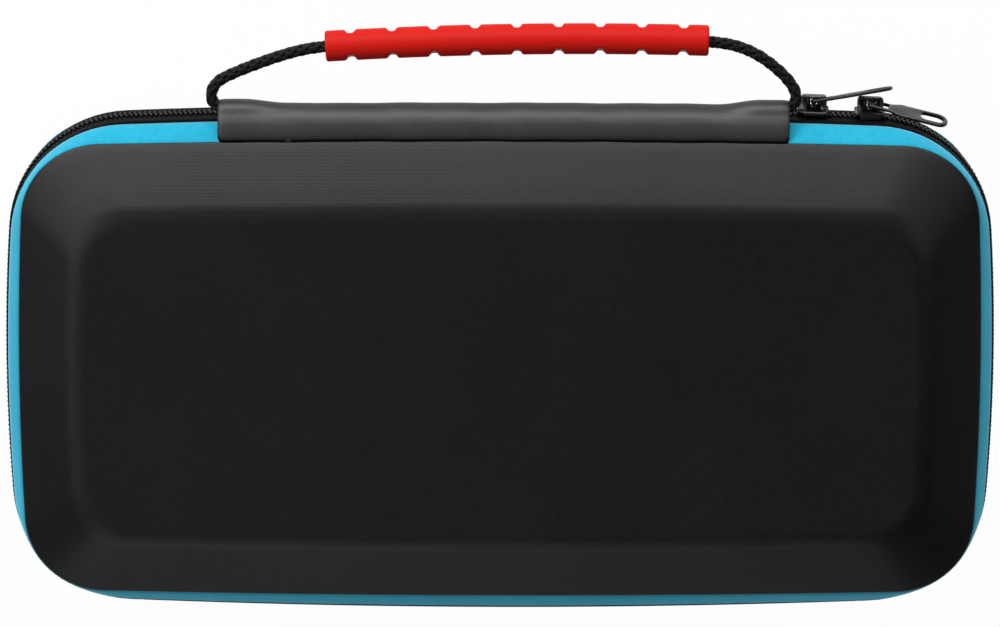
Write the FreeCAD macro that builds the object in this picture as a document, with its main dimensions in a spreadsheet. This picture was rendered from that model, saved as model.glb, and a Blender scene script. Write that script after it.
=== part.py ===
"""A moulded zip case for a handheld games console, closed and lying on its rear face.

Millimetres. +X runs along the case, +Y points from the hinge edge to the handle edge, and +Z from the rear
face, which lies on z = 0, to the front face. The zip runs round the case at half its depth.
"""
import FreeCAD, Part
import math
import os
import re
import Sketcher
from FreeCAD import Placement, Rotation, Vector

doc = FreeCAD.newDocument("console_case")
sizes = doc.addObject("Spreadsheet::Sheet", "Sizes")

# The driving sizes: name, value in millimetres or degrees, and what it is
SIZES = [
    ("half_depth", 22.5, "rear face to the middle of the zip, half the closed depth"),
    ("seat", 0.15, "gap between two pieces of cloth that are sewn together"),
    ("crest_half_x", 130.0, "half the width over the zip tape"),
    ("crest_half_y", 67.6, "half the height over the zip tape, without the handle"),
    ("crest_corner", 32.0, "corner radius of the zip's path"),
    ("crest_long_bow", 2.0, "how far the zip's top and bottom runs bow out"),
    ("crest_short_bow", 1.2, "how far the zip's side runs bow out"),
    ("seam_half_x", 126.6, "half the width of a shell at its seam"),
    ("seam_half_y", 62.5, "half the height of a shell at its seam"),
    ("seam_corner", 21.0, "corner radius of a shell at its seam"),
    ("seam_long_bow", 1.2, "how far a shell's long seams bow out"),
    ("seam_short_bow", 1.0, "how far a shell's short seams bow out"),
    ("seam_rise", 12.5, "middle of the zip to the seam between band and shell"),
    ("bevel", 14.5, "width of the flat bevel round the face of a shell"),
    ("bend_radius", 9.0, "rounding between the bevel and the flat face"),
    ("wall", 3.0, "thickness of the moulded foam at the face"),
    ("seam_wall", 3.0, "width of a shell's edge at the seam"),
    ("gusset_wall", 1.6, "thickness of the blue band"),
    ("tape_end", 6.0, "middle of the zip to the tape's sewn edge"),
    ("tape_wall", 0.8, "thickness of the zip tape"),
    ("coil_near", 0.6, "middle of the zip to the coil"),
    ("coil_far", 2.3, "middle of the zip to the coil's far side"),
    ("coil_out", 0.6, "how far the coil stands out of the tape"),
    ("coil_in", 0.9, "how far the coil stands in from the tape's outside"),
    ("hinge_gap", 0.15, "half the gap between the spine's halves"),
    ("hinge_out", 0.5, "zip tape to the line that the lid turns about"),
    ("spine_half", 95.0, "half the length of the spine cloth"),
    ("spine_wall", 1.2, "thickness of the spine cloth"),
    ("binding_inset", 3.2, "seam to the binding ribbon inside"),
    ("binding_wall", 1.4, "thickness of the bound seam allowance"),
    ("binding_width", 4.0, "width of the binding ribbon"),
    ("tray_gap", 0.3, "gap under the foam tray"),
    ("tray_top", 9.0, "height of the floor that the console lies on"),
    ("rail_half", 95.0, "half the length of the tray's rails"),
    ("rail_inner", 52.4, "middle of the tray to the inside of a rail"),
    ("rail_wall", 4.2, "thickness of a rail"),
    ("rail_top", 23.8, "height of a rail's top"),
    ("rail_round", 1.6, "rounding along a rail's top"),
    ("strap_place", 62.0, "middle of the case to the middle of a strap"),
    ("strap_width", 22.0, "width of an elastic strap"),
    ("strap_wall", 1.0, "thickness of an elastic strap"),
    ("pouch_half", 104.0, "half the width of the net pouch"),
    ("pouch_bottom", -43.0, "lower edge of the net pouch"),
    ("pouch_top", 30.0, "the net pouch's mouth"),
    ("pouch_depth", 6.8, "depth of the net pouch with its net"),
    ("pouch_wall", 0.8, "thickness of the net"),
    ("pouch_corner", 12.0, "corner radius of the net pouch"),
    ("hem_width", 4.0, "width of the elastic hem"),
    ("hem_wall", 1.6, "thickness of the elastic hem"),
    ("flap_half_x", 108.0, "half the width of the card page"),
    ("flap_half_y", 46.0, "half the height of the card page"),
    ("flap_corner", 10.0, "corner radius of the card page"),
    ("flap_low", 30.6, "height of the card page's underside"),
    ("flap_wall", 2.4, "thickness of the padded card page"),
    ("flap_edge", 0.6, "slant of the card page's edge"),
    ("flap_cloth", 0.8, "thickness of the card page's hinge and tab"),
    ("flap_hinge_half", 85.0, "half the width of the card page's hinge"),
    ("tab_half", 8.0, "half the width of the pull tab"),
    ("tab_length", 9.0, "length of the pull tab"),
    ("card_half_x", 100.0, "half the length of a row of card pockets"),
    ("card_height", 34.0, "height of a row of card pockets"),
    ("card_spread", 4.0, "middle of the page to a row of card pockets"),
    ("card_wall", 1.05, "thickness of a row of card pockets"),
    ("card_stitch", 1.0, "width of the stitched line between two pockets"),
    ("card_pockets", 5, "pockets in a row"),
    ("sleeve_left", -73.6, "left end of the handle sleeve"),
    ("sleeve_right", 75.3, "right end of the handle sleeve"),
    ("sleeve_top", 71.5, "top of the handle sleeve"),
    ("sleeve_back", 27.9, "height of the sleeve's edge beside the zip"),
    ("sleeve_front", 34.85, "height of the sleeve's edge at the shell's seam"),
    ("sleeve_front_round", 4.2, "rounding of the sleeve towards the shell"),
    ("sleeve_back_round", 2.7, "rounding of the sleeve towards the zip"),
    ("boss_radius", 3.3, "radius of the cloth round the rope at the sleeve's end"),
    ("boss_length", 18.0, "length of the hump that the rope raises"),
    ("bore_radius", 1.8, "radius of the sleeve's hole for the rope"),
    ("bore_depth", 5.4, "depth of the sleeve's hole for the rope"),
    ("mouth_radius", 2.3, "radius of that hole at the sleeve's end"),
    ("swing_y", 69.6, "place of the line that the handle swings about"),
    ("swing_z", 30.2, "height of that line, of the rope and of the grip"),
    ("rope_radius", 1.5, "radius of the braided rope"),
    ("grip_radius", 4.05, "radius of the grip"),
    ("grip_bore", 2.0, "radius of the grip's bore"),
    ("grip_length", 100.0, "length of the grip"),
    ("grip_bend", 1087.0, "radius that the grip bends to"),
    ("grip_middle_x", 4.3, "place of the grip's middle"),
    ("grip_middle_y", 88.47, "middle of the case to the grip's middle line"),
    ("grip_slope", 1.0, "slope of the grip in degrees"),
    ("grip_end_slant", 0.7, "slant of the grip's ends"),
    ("notch_count", 9, "notches along the grip"),
    ("notch_pitch", 10.84, "from one notch to the next"),
    ("notch_wide", 1.55, "half a notch's width at the surface"),
    ("notch_narrow", 0.65, "half a notch's width at its floor"),
    ("notch_depth", 1.1, "depth of a notch"),
    ("slider_left_x", 82.0, "place of the left slider"),
    ("slider_right_x", 96.8, "place of the right slider"),
    ("slider_length", 8.0, "length of a slider"),
    ("slider_half", 4.0, "half the width of a slider"),
    ("slider_wall", 0.9, "thickness of a slider's plates"),
    ("slider_inner", 3.6, "half the width of a slider's inner plate"),
    ("channel_half", 2.6, "half the width of the slider's channel"),
    ("channel_out", 0.3, "room over the coil in the channel"),
    ("channel_in", 0.75, "room under the coil in the channel, which lets a slider turn a corner"),
    ("post_half", 0.35, "half the thickness of the wedge between the coils"),
    ("post_length", 2.4, "length of that wedge"),
    ("slider_round", 1.4, "corner radius of a slider's plates"),
    ("arch_half", 3.4, "half the length of the arch that holds the pull"),
    ("arch_wide", 0.8, "half the width of the arch"),
    ("arch_leg", 1.5, "length of the arch's legs along the zip"),
    ("arch_window", 2.8, "height of the window under the arch"),
    ("arch_wall", 0.9, "thickness of the arch"),
    ("pivot_rise", 1.9, "slider's plate to the pull's cross bar"),
    ("pull_length", 21.0, "pull's cross bar to its tip"),
    ("pull_half", 3.2, "half the width of a pull"),
    ("pull_root", 1.9, "half the width of a pull at its root"),
    ("pull_neck", 5.6, "cross bar to where the pull widens"),
    ("pull_wall", 1.0, "thickness of a pull"),
    ("eye_half", 1.4, "half the width of a pull's eye"),
    ("eye_length", 5.0, "cross bar to the far end of the eye"),
    ("hole_half", 2.1, "half the width of the hole near the tip"),
    ("hole_length", 6.4, "length of the hole near the tip"),
    ("hole_margin", 1.1, "metal between the hole and the tip"),
    ("pull_edge", 0.3, "slant of a pull's edges"),
    ("pull_left_angle", 12.2, "rise of the left pull over its zip, in degrees"),
    ("pull_right_angle", -12.0, "fall of the right pull, in degrees"),
    ("pull_left_roll", -12.0, "turn of the left pull about its length, in degrees"),
    ("pull_right_roll", 12.0, "turn of the right pull about its length, in degrees"),
]

# The rope's route at the height swing_z: out of the sleeve's left end, up, through the grip, and back into
# the sleeve's right end
ROPE_ROUTE = [
    (-69.4, 69.6),
    (-75.3, 69.6),
    (-75.6, 76.2),
    (-68.2, 80.0),
    (-54.0, 85.2),
    (-44.0, 86.75),
    (-22.0, 87.85),
    (22.0, 88.85),
    (52.0, 88.45),
    (65.4, 86.3),
    (77.2, 76.4),
    (77.2, 69.6),
    (71.4, 69.6),
]

for row, (alias, number, meaning) in enumerate(SIZES, start=1):
    sizes.set(f"A{row}", meaning)
    sizes.set(f"B{row}", str(number))
    sizes.setAlias(f"B{row}", alias)
doc.recompute()

ALIASES = {alias for alias, number, meaning in SIZES}
FAR = 400.0
subparts = []


def bound(expression):
    """The expression with each size's name pointing at the sheet."""
    def pointed(word):
        return f"Sizes.{word[0]}" if word[0] in ALIASES else word[0]
    return re.sub(r"[a-z][a-z_]*", pointed, expression)


def value(expression):
    """What an expression of sizes comes to."""
    return float(sizes.evalExpression(bound(expression)))


def bind(thing, name, expression):
    """Bind a property of an object to an expression of sizes."""
    thing.setExpression(name, bound(expression))


def new_body(name):
    """An empty body for one sub-part."""
    body = doc.addObject("PartDesign::Body", name)
    body.Label = name
    subparts.append(body)
    return body


def origin_feature(body, role):
    """One of the body's own origin planes or axes."""
    return next(feature for feature in body.Origin.OriginFeatures if feature.Role == role)


def new_sketch(body, role, height):
    """A sketch at a height over one of the body's origin planes."""
    sketch = body.newObject("Sketcher::SketchObject", f"{body.Name}_sketch")
    sketch.AttachmentSupport = [(origin_feature(body, role), "")]
    sketch.MapMode = "FlatFace"
    bind(sketch, "AttachmentOffset.Base.z", height)
    return sketch


def constrain(sketch, kind, where, expression):
    """Add a dimension to a sketch, bound to an expression."""
    index = sketch.addConstraint(Sketcher.Constraint(kind, *where, value(expression)))
    bind(sketch, f"Constraints[{index}]", expression)


def bow_radius(family, axis):
    """The radius of a bowed side: its half chord and its bow make the arc."""
    half = "half_x" if axis == "long" else "half_y"
    chord, bow = f"({family}_{half} - {family}_corner)", f"{family}_{axis}_bow"
    return f"(({chord} * {chord} + {bow} * {bow}) / (2 * {bow}))"


def corner_centre(family):
    """The centre of the upper right corner of an outline, where its two bowed sides' arcs meet."""
    long_radius = value(bow_radius(family, "long"))
    short_radius = value(bow_radius(family, "short"))
    corner = value(f"{family}_corner")
    top = Vector(0, value(f"{family}_half_y") - long_radius, 0)
    side = Vector(value(f"{family}_half_x") - short_radius, 0, 0)
    between = side - top
    along = (long_radius - corner) ** 2 - (short_radius - corner) ** 2 + between.Length ** 2
    along = along / (2 * between.Length)
    across = math.sqrt((long_radius - corner) ** 2 - along ** 2)
    ahead = Vector(between).normalize()
    return top + ahead * along + Vector(ahead.y, -ahead.x, 0) * across


def outline(sketch, family, inset):
    """Add the case's outline to a sketch: four bowed sides and four round corners, all tangent.

    Every outline of a family shares its centres, so an inset leaves the same width all round.
    """
    long_radius = value(bow_radius(family, "long")) - value(inset)
    short_radius = value(bow_radius(family, "short")) - value(inset)
    corner = value(f"{family}_corner") - value(inset)
    top = Vector(0, value(f"{family}_half_y - ({inset})") - long_radius, 0)
    side = Vector(value(f"{family}_half_x - ({inset})") - short_radius, 0, 0)
    centre = corner_centre(family)
    at_top = math.atan2(centre.y - top.y, centre.x - top.x)
    at_side = math.atan2(centre.y - side.y, centre.x - side.x)
    half_turn = math.pi
    arcs = [
        (side.x, 0, short_radius, -at_side, at_side),
        (centre.x, centre.y, corner, at_side, at_top),
        (0, top.y, long_radius, at_top, half_turn - at_top),
        (-centre.x, centre.y, corner, half_turn - at_top, half_turn - at_side),
        (-side.x, 0, short_radius, half_turn - at_side, half_turn + at_side),
        (-centre.x, -centre.y, corner, half_turn + at_side, half_turn + at_top),
        (0, -top.y, long_radius, half_turn + at_top, 2 * half_turn - at_top),
        (centre.x, -centre.y, corner, 2 * half_turn - at_top, 2 * half_turn - at_side),
    ]
    first = sketch.GeometryCount
    for x, y, radius, start, end in arcs:
        circle = Part.Circle(Vector(x, y, 0), Vector(0, 0, 1), radius)
        sketch.addGeometry(Part.ArcOfCircle(circle, start, end))
    right, corner_arc, upper, left, lower = first, first + 1, first + 2, first + 4, first + 6
    for number in range(len(arcs)):
        following = first + (number + 1) % len(arcs)
        sketch.addConstraint(Sketcher.Constraint("Tangent", first + number, 2, following, 1))
    for arc, axis in ((right, -1), (left, -1), (upper, -2), (lower, -2)):
        sketch.addConstraint(Sketcher.Constraint("PointOnObject", arc, 3, axis))
    sketch.addConstraint(Sketcher.Constraint("Equal", right, left))
    sketch.addConstraint(Sketcher.Constraint("Equal", upper, lower))
    for number in (3, 5, 7):
        sketch.addConstraint(Sketcher.Constraint("Equal", corner_arc, first + number))
    long_length, short_length = bow_radius(family, "long"), bow_radius(family, "short")
    constrain(sketch, "Radius", (right,), f"{short_length} - ({inset})")
    constrain(sketch, "Radius", (upper,), f"{long_length} - ({inset})")
    constrain(sketch, "Radius", (corner_arc,), f"{family}_corner - ({inset})")
    constrain(sketch, "DistanceX", (right, 3, -1, 1), f"{short_length} - {family}_half_x")
    constrain(sketch, "DistanceX", (-1, 1, left, 3), f"{short_length} - {family}_half_x")
    constrain(sketch, "DistanceY", (upper, 3, -1, 1), f"{long_length} - {family}_half_y")
    constrain(sketch, "DistanceY", (-1, 1, lower, 3), f"{long_length} - {family}_half_y")


def polygon(sketch, corners, bends=None):
    """Add a closed profile to a sketch, each corner at a pair of expressions.

    The side that starts at a corner named in bends is an arc of that radius. Such a profile runs
    anticlockwise.
    """
    bends = bends or {}
    first = sketch.GeometryCount
    points = [Vector(value(across), value(up), 0) for across, up in corners]
    for number, point in enumerate(points):
        following = points[(number + 1) % len(points)]
        if number not in bends:
            sketch.addGeometry(Part.LineSegment(point, following))
            continue
        radius, chord = value(bends[number]), following - point
        inward = Vector(-chord.y, chord.x, 0).normalize()
        centre = (point + following) * 0.5 + inward * math.sqrt(radius ** 2 - (chord.Length / 2) ** 2)
        start, end = (math.atan2(place.y - centre.y, place.x - centre.x) for place in (point, following))
        sketch.addGeometry(Part.ArcOfCircle(Part.Circle(centre, Vector(0, 0, 1), radius), start, end))
    for number, (across, up) in enumerate(corners):
        following = first + (number + 1) % len(corners)
        sketch.addConstraint(Sketcher.Constraint("Coincident", first + number, 2, following, 1))
        constrain(sketch, "DistanceX", (-1, 1, first + number, 1), across)
        constrain(sketch, "DistanceY", (-1, 1, first + number, 1), up)
    for number, radius in bends.items():
        constrain(sketch, "Radius", (first + number,), radius)


def rectangle(sketch, left, right, low, high):
    """Add a rectangle to a sketch."""
    polygon(sketch, [(left, low), (right, low), (right, high), (left, high)])


def circle_at(sketch, across, up, radius):
    """Add a circle to a sketch."""
    middle = Vector(value(across), value(up), 0)
    number = sketch.addGeometry(Part.Circle(middle, Vector(0, 0, 1), value(radius)))
    constrain(sketch, "DistanceX", (-1, 1, number, 3), across)
    constrain(sketch, "DistanceY", (-1, 1, number, 3), up)
    constrain(sketch, "Radius", (number,), radius)


def pad(body, sketch, length, symmetric=False):
    """Extrude a sketch along its plane's normal, or to both sides."""
    feature = body.newObject("PartDesign::Pad", f"{body.Name}_pad")
    feature.Profile = sketch
    feature.SideType = "Symmetric" if symmetric else "One side"
    bind(feature, "Length", length)
    sketch.Visibility = False
    doc.recompute()
    return feature


def pocket(body, sketch, length, forward=False, symmetric=False):
    """Cut a sketch into the body, along its plane's normal if forward. It has to take something away."""
    before = body.Tip.Shape.Volume
    feature = body.newObject("PartDesign::Pocket", f"{body.Name}_pocket")
    feature.Profile = sketch
    feature.SideType = "Symmetric" if symmetric else "One side"
    feature.Reversed = forward
    bind(feature, "Length", length)
    sketch.Visibility = False
    doc.recompute()
    if feature.Shape.Volume >= before:
        raise RuntimeError(f"{feature.Name} cuts nothing")
    return feature


def loft(body, kind, sketches):
    """A ruled loft through sketches, added to the body or taken from it."""
    before = body.Tip.Shape.Volume if body.Tip else 0.0
    feature = body.newObject(f"PartDesign::{kind}", f"{body.Name}_loft")
    feature.Profile = sketches[0]
    feature.Sections = sketches[1:]
    feature.Ruled = True
    doc.recompute()
    after = feature.Shape.Volume
    if (kind == "AdditiveLoft") == (after <= before):
        raise RuntimeError(f"{feature.Name} changes nothing")
    return feature


def outline_loft(body, kind, sections):
    """A loft through outlines of the case, each given by its family, inset and height."""
    sketches = []
    for family, inset, height in sections:
        sketch = new_sketch(body, "XY_Plane", height)
        outline(sketch, family, inset)
        sketches.append(sketch)
    return loft(body, kind, sketches)


def break_edges(body, kind, size, width, wanted):
    """Cut or round the edges that the test picks out."""
    tip = body.Tip
    names = [f"Edge{number}" for number, edge in enumerate(tip.Shape.Edges, start=1) if wanted(edge)]
    if not names:
        raise RuntimeError(f"{body.Name} has no edge to break")
    feature = body.newObject(f"PartDesign::{kind}", f"{body.Name}_{kind.lower()}")
    feature.Base = (tip, names)
    bind(feature, size, width)
    doc.recompute()
    return feature


def round_edges(body, radius, wanted):
    """Round the edges that the test picks out."""
    return break_edges(body, "Fillet", "Radius", radius, wanted)


def chamfer_edges(body, width, wanted):
    """Take the edges that the test picks out off at a slant."""
    return break_edges(body, "Chamfer", "Size", width, wanted)


def lies_at(axis, place):
    """A test for edges that lie in the plane across an axis at a place."""
    def wanted(edge):
        return all(abs(getattr(vertex.Point, axis) - place) < 1e-4 for vertex in edge.Vertexes)
    return wanted


def runs_along(axis, *tests):
    """A test for straight edges along an axis that also pass the other tests."""
    def wanted(edge):
        if edge.Curve.TypeId != "Part::GeomLine":
            return False
        return abs(getattr(edge.Curve.Direction, axis)) > 0.9999 and all(test(edge) for test in tests)
    return wanted


def level(side, rise):
    """The height of what lies a distance from the middle of the zip, in the front or the rear half."""
    return f"(half_depth + ({rise}))" if side == "front" else f"(half_depth - ({rise}))"


def outline_ring(name, side, family, outer, inner, near, far):
    """A wall that follows the case's outline, between two distances from the middle of the zip."""
    body = new_body(name)
    sketch = new_sketch(body, "XY_Plane", level(side, near if side == "front" else far))
    outline(sketch, family, outer)
    outline(sketch, family, inner)
    pad(body, sketch, f"({far}) - ({near})")
    return body


def drop_bottom(body, half_width):
    """Cut the middle of the hinge edge's run out of a ring."""
    sketch = new_sketch(body, "XY_Plane", "0")
    rectangle(sketch, f"-({half_width})", half_width, str(-FAR), "0")
    pocket(body, sketch, str(FAR), forward=True)


def keep_bottom(body, half_width, top):
    """Keep only what lies at the hinge edge, up to a half width and below a top."""
    sketch = new_sketch(body, "XY_Plane", "0")
    far, near = str(FAR), str(-FAR)
    polygon(sketch, [
        (near, near), (f"-({half_width})", near), (f"-({half_width})", top), (half_width, top),
        (half_width, near), (far, near), (far, far), (near, far),
    ])
    pocket(body, sketch, far, forward=True)


def make_shell(side):
    """A moulded shell: a bevelled rim, swept along the seam, and the flat face that it runs into."""
    body = new_body(f"{side}_shell")
    seam_level, face = level(side, "seam_rise"), level(side, "half_depth")
    seam = new_sketch(body, "XY_Plane", seam_level)
    outline(seam, "seam", "0")
    rise = "(half_depth - seam_rise)"
    slope = f"sqrt(bevel * bevel + {rise} * {rise})"
    bend = f"(bend_radius * ({slope} - bevel) / {rise})"
    bend_low = level(side, f"half_depth - {bend} * {rise} / {slope}")
    inner_face = level(side, "half_depth - wall")
    corners = [
        ("seam_half_x - seam_wall", seam_level),
        ("seam_half_x", seam_level),
        (f"seam_half_x - bevel + {bend} * bevel / {slope}", bend_low),
        (f"seam_half_x - bevel - {bend}", face),
        (f"seam_half_x - bevel - {bend}", inner_face),
        ("seam_half_x - bevel", inner_face),
    ]
    bend_at = 2
    if side == "rear":
        corners.reverse()
    profile = new_sketch(body, "XZ_Plane", "0")
    polygon(profile, corners, {bend_at: "bend_radius"})
    rim = body.newObject("PartDesign::AdditivePipe", f"{side}_rim")
    rim.Profile = profile
    rim.Spine = (seam, [])
    doc.recompute()
    plate = new_sketch(body, "XY_Plane", inner_face if side == "front" else face)
    outline(plate, "seam", f"bevel + {bend}")
    pad(body, plate, "wall")


def make_gusset(side):
    """The blue band, which slopes from the zip tape in to the shell's seam."""
    body = new_body(f"{side}_gusset")
    near, far = level(side, "tape_end + seat"), level(side, "seam_rise - seat")
    outline_loft(body, "AdditiveLoft", [("crest", "0", near), ("seam", "0", far)])
    outline_loft(body, "SubtractiveLoft", [("crest", "gusset_wall", near), ("seam", "gusset_wall", far)])


def make_zip(side):
    """A zip tape and its row of coil teeth, which stop at the spine."""
    tape = outline_ring(f"{side}_zip_tape", side, "crest", "0", "tape_wall", "coil_far + seat", "tape_end")
    drop_bottom(tape, "spine_half + seat")
    coil = outline_ring(f"{side}_zip_coil", side, "crest", "-coil_out", "coil_in", "coil_near", "coil_far")
    drop_bottom(coil, "spine_half + seat")


def make_spine(side):
    """Half of the spine cloth, from the hinge line to the blue band."""
    body = outline_ring(f"spine_{side}", side, "crest", "0", "spine_wall", "hinge_gap", "tape_end")
    keep_bottom(body, "spine_half", "0")


def make_binding(side):
    """The ribbon that binds the seam allowance inside a shell."""
    outline_ring(
        f"{side}_binding", side, "seam", "binding_inset", "binding_inset + binding_wall",
        "seam_rise - seat - binding_width", "seam_rise - seat")


def make_tray():
    """The foam insert: a pad that fills the rear shell, with a rail above and below the console."""
    body = new_body("console_tray")
    slope = "((bevel - seam_wall) / (half_depth - wall - seam_rise))"
    outline_loft(body, "AdditiveLoft", [
        ("seam", "bevel", "wall + tray_gap"),
        ("seam", f"bevel - {slope} * (tray_top - wall - tray_gap)", "tray_top"),
    ])
    for low, high in (("rail_inner", "rail_inner + rail_wall"), ("-rail_inner - rail_wall", "-rail_inner")):
        sketch = new_sketch(body, "XY_Plane", "tray_top")
        rectangle(sketch, "-rail_half", "rail_half", low, high)
        pad(body, sketch, "rail_top - tray_top")
    round_edges(body, "rail_round", lies_at("z", value("rail_top")))


def make_strap(name, place):
    """An elastic strap from one rail to the other."""
    body = new_body(name)
    sketch = new_sketch(body, "XY_Plane", "rail_top + seat")
    end = "(rail_inner + rail_wall - rail_round)"
    rectangle(sketch, f"{place} - strap_width / 2", f"{place} + strap_width / 2", f"-{end}", end)
    pad(body, sketch, "strap_wall")


def make_pouch():
    """The net pouch sewn into the lid, with an elastic hem at its mouth."""
    body = new_body("mesh_pocket")
    bottom = "(2 * half_depth - wall - seat - pouch_depth)"
    sketch = new_sketch(body, "XY_Plane", bottom)
    rectangle(sketch, "-pouch_half", "pouch_half", "pouch_bottom", "pouch_top")
    pad(body, sketch, "pouch_depth")
    at_bottom = lies_at("y", value("pouch_bottom"))
    round_edges(body, "pouch_corner", runs_along("z", at_bottom))
    sketch = new_sketch(body, "XY_Plane", f"{bottom} + pouch_wall")
    side, low, turn = "(pouch_half - pouch_wall)", "(pouch_bottom + pouch_wall)", "(pouch_corner - pouch_wall)"
    far = str(FAR)
    polygon(sketch, [
        (f"-{side}", far), (f"-{side}", f"{low} + {turn}"), (f"-{side} + {turn}", low),
        (f"{side} - {turn}", low), (side, f"{low} + {turn}"), (side, far),
    ], {1: turn, 3: turn})
    pocket(body, sketch, "pouch_depth", forward=True)

    hem = new_body("pocket_hem")
    sketch = new_sketch(hem, "XY_Plane", f"{bottom} + pouch_wall / 2 - hem_wall / 2")
    rectangle(sketch, "-pouch_half", "pouch_half", "pouch_top + seat", "pouch_top + seat + hem_width")
    pad(hem, sketch, "hem_wall")
    round_edges(hem, "hem_wall / 3", runs_along("x"))


def make_flap():
    """The padded card page in the lid, its cloth hinge, its pull tab and its two rows of pockets."""
    page = new_body("card_flap")
    sketch = new_sketch(page, "XY_Plane", "flap_low")
    rectangle(sketch, "-flap_half_x", "flap_half_x", "-flap_half_y", "flap_half_y")
    pad(page, sketch, "flap_wall")
    round_edges(page, "flap_corner", runs_along("z"))
    top, bottom = lies_at("z", value("flap_low + flap_wall")), lies_at("z", value("flap_low"))
    chamfer_edges(page, "flap_edge", lambda edge: top(edge) or bottom(edge))

    cloth_low = "(flap_low + flap_wall / 2 - flap_cloth / 2)"
    hinge = new_body("card_flap_hinge")
    sketch = new_sketch(hinge, "XY_Plane", cloth_low)
    outline(sketch, "seam", "binding_inset + binding_wall + seat")
    pad(hinge, sketch, "flap_cloth")
    keep_bottom(hinge, "flap_hinge_half", "-flap_half_y - seat")

    tab = new_body("card_tab")
    sketch = new_sketch(tab, "XY_Plane", cloth_low)
    rectangle(sketch, "-tab_half", "tab_half", "flap_half_y + seat", "flap_half_y + seat + tab_length")
    pad(tab, sketch, "flap_cloth")
    round_edges(tab, "tab_half / 2", runs_along("z", lies_at("y", value("flap_half_y + seat + tab_length"))))

    row_places = {"card_pocket_upper": "card_spread", "card_pocket_lower": "(-card_spread - card_height)"}
    for name, low in row_places.items():
        row = new_body(name)
        row_low = "flap_low - seat - card_wall"
        sketch = new_sketch(row, "XY_Plane", row_low)
        high = f"{low} + card_height"
        rectangle(sketch, "-card_half_x", "card_half_x", low, high)
        pad(row, sketch, "card_wall")
        pitch = "(2 * card_half_x / card_pockets)"
        first = f"(-card_half_x + {pitch})"
        sketch = new_sketch(row, "XY_Plane", row_low)
        rectangle(sketch, f"{first} - card_stitch / 2", f"{first} + card_stitch / 2", low, high)
        groove = pocket(row, sketch, "card_wall / 2", forward=True)
        pattern = row.newObject("PartDesign::LinearPattern", f"{name}_pattern")
        pattern.Originals = [groove]
        pattern.Direction = (origin_feature(row, "X_Axis"), [""])
        pattern.Mode = "Extent"
        bind(pattern, "Length", f"{pitch} * (card_pockets - 2)")
        bind(pattern, "Occurrences", "card_pockets - 1")
        row.Tip = pattern
        doc.recompute()


def make_sleeve():
    """The handle sleeve: a cloth roll that hugs the blue band, with a hump over the rope at each end."""
    body = new_body("handle_sleeve")
    sketch = new_sketch(body, "YZ_Plane", "sleeve_left")
    rectangle(sketch, "seam_half_y - wall", "sleeve_top", "sleeve_back", "sleeve_front")
    pad(body, sketch, "sleeve_right - sleeve_left")
    along_top = lies_at("y", value("sleeve_top"))
    at_front, at_back = lies_at("z", value("sleeve_front")), lies_at("z", value("sleeve_back"))
    round_edges(body, "sleeve_front_round", runs_along("x", along_top, at_front))
    round_edges(body, "sleeve_back_round", runs_along("x", along_top, at_back))
    for end, inward in (("sleeve_left", ""), ("sleeve_right", "-")):
        hump = []
        for along, radius in (("0", "boss_radius"), ("boss_length * 0.45", "boss_radius - seat"),
                              ("boss_length", "boss_radius / 2")):
            ring = new_sketch(body, "YZ_Plane", f"{end} + ({inward}1) * {along}")
            circle_at(ring, "swing_y", "swing_z", radius)
            hump.append(ring)
        loft(body, "AdditiveLoft", hump)
        hole = new_sketch(body, "YZ_Plane", end)
        circle_at(hole, "swing_y", "swing_z", "bore_radius")
        pocket(body, hole, "bore_depth", forward=not inward)
        mouth = []
        for along, radius in (("0", "mouth_radius"), ("bore_radius", "bore_radius")):
            ring = new_sketch(body, "YZ_Plane", f"{end} + ({inward}1) * {along}")
            circle_at(ring, "swing_y", "swing_z", radius)
            mouth.append(ring)
        loft(body, "SubtractiveLoft", mouth)
    outline_loft(body, "SubtractiveLoft", [
        ("crest", "-seat", level("front", "coil_far")),
        ("crest", "-seat", level("front", "tape_end + seat")),
        ("seam", "-seat", level("front", "seam_rise")),
    ])


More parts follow.
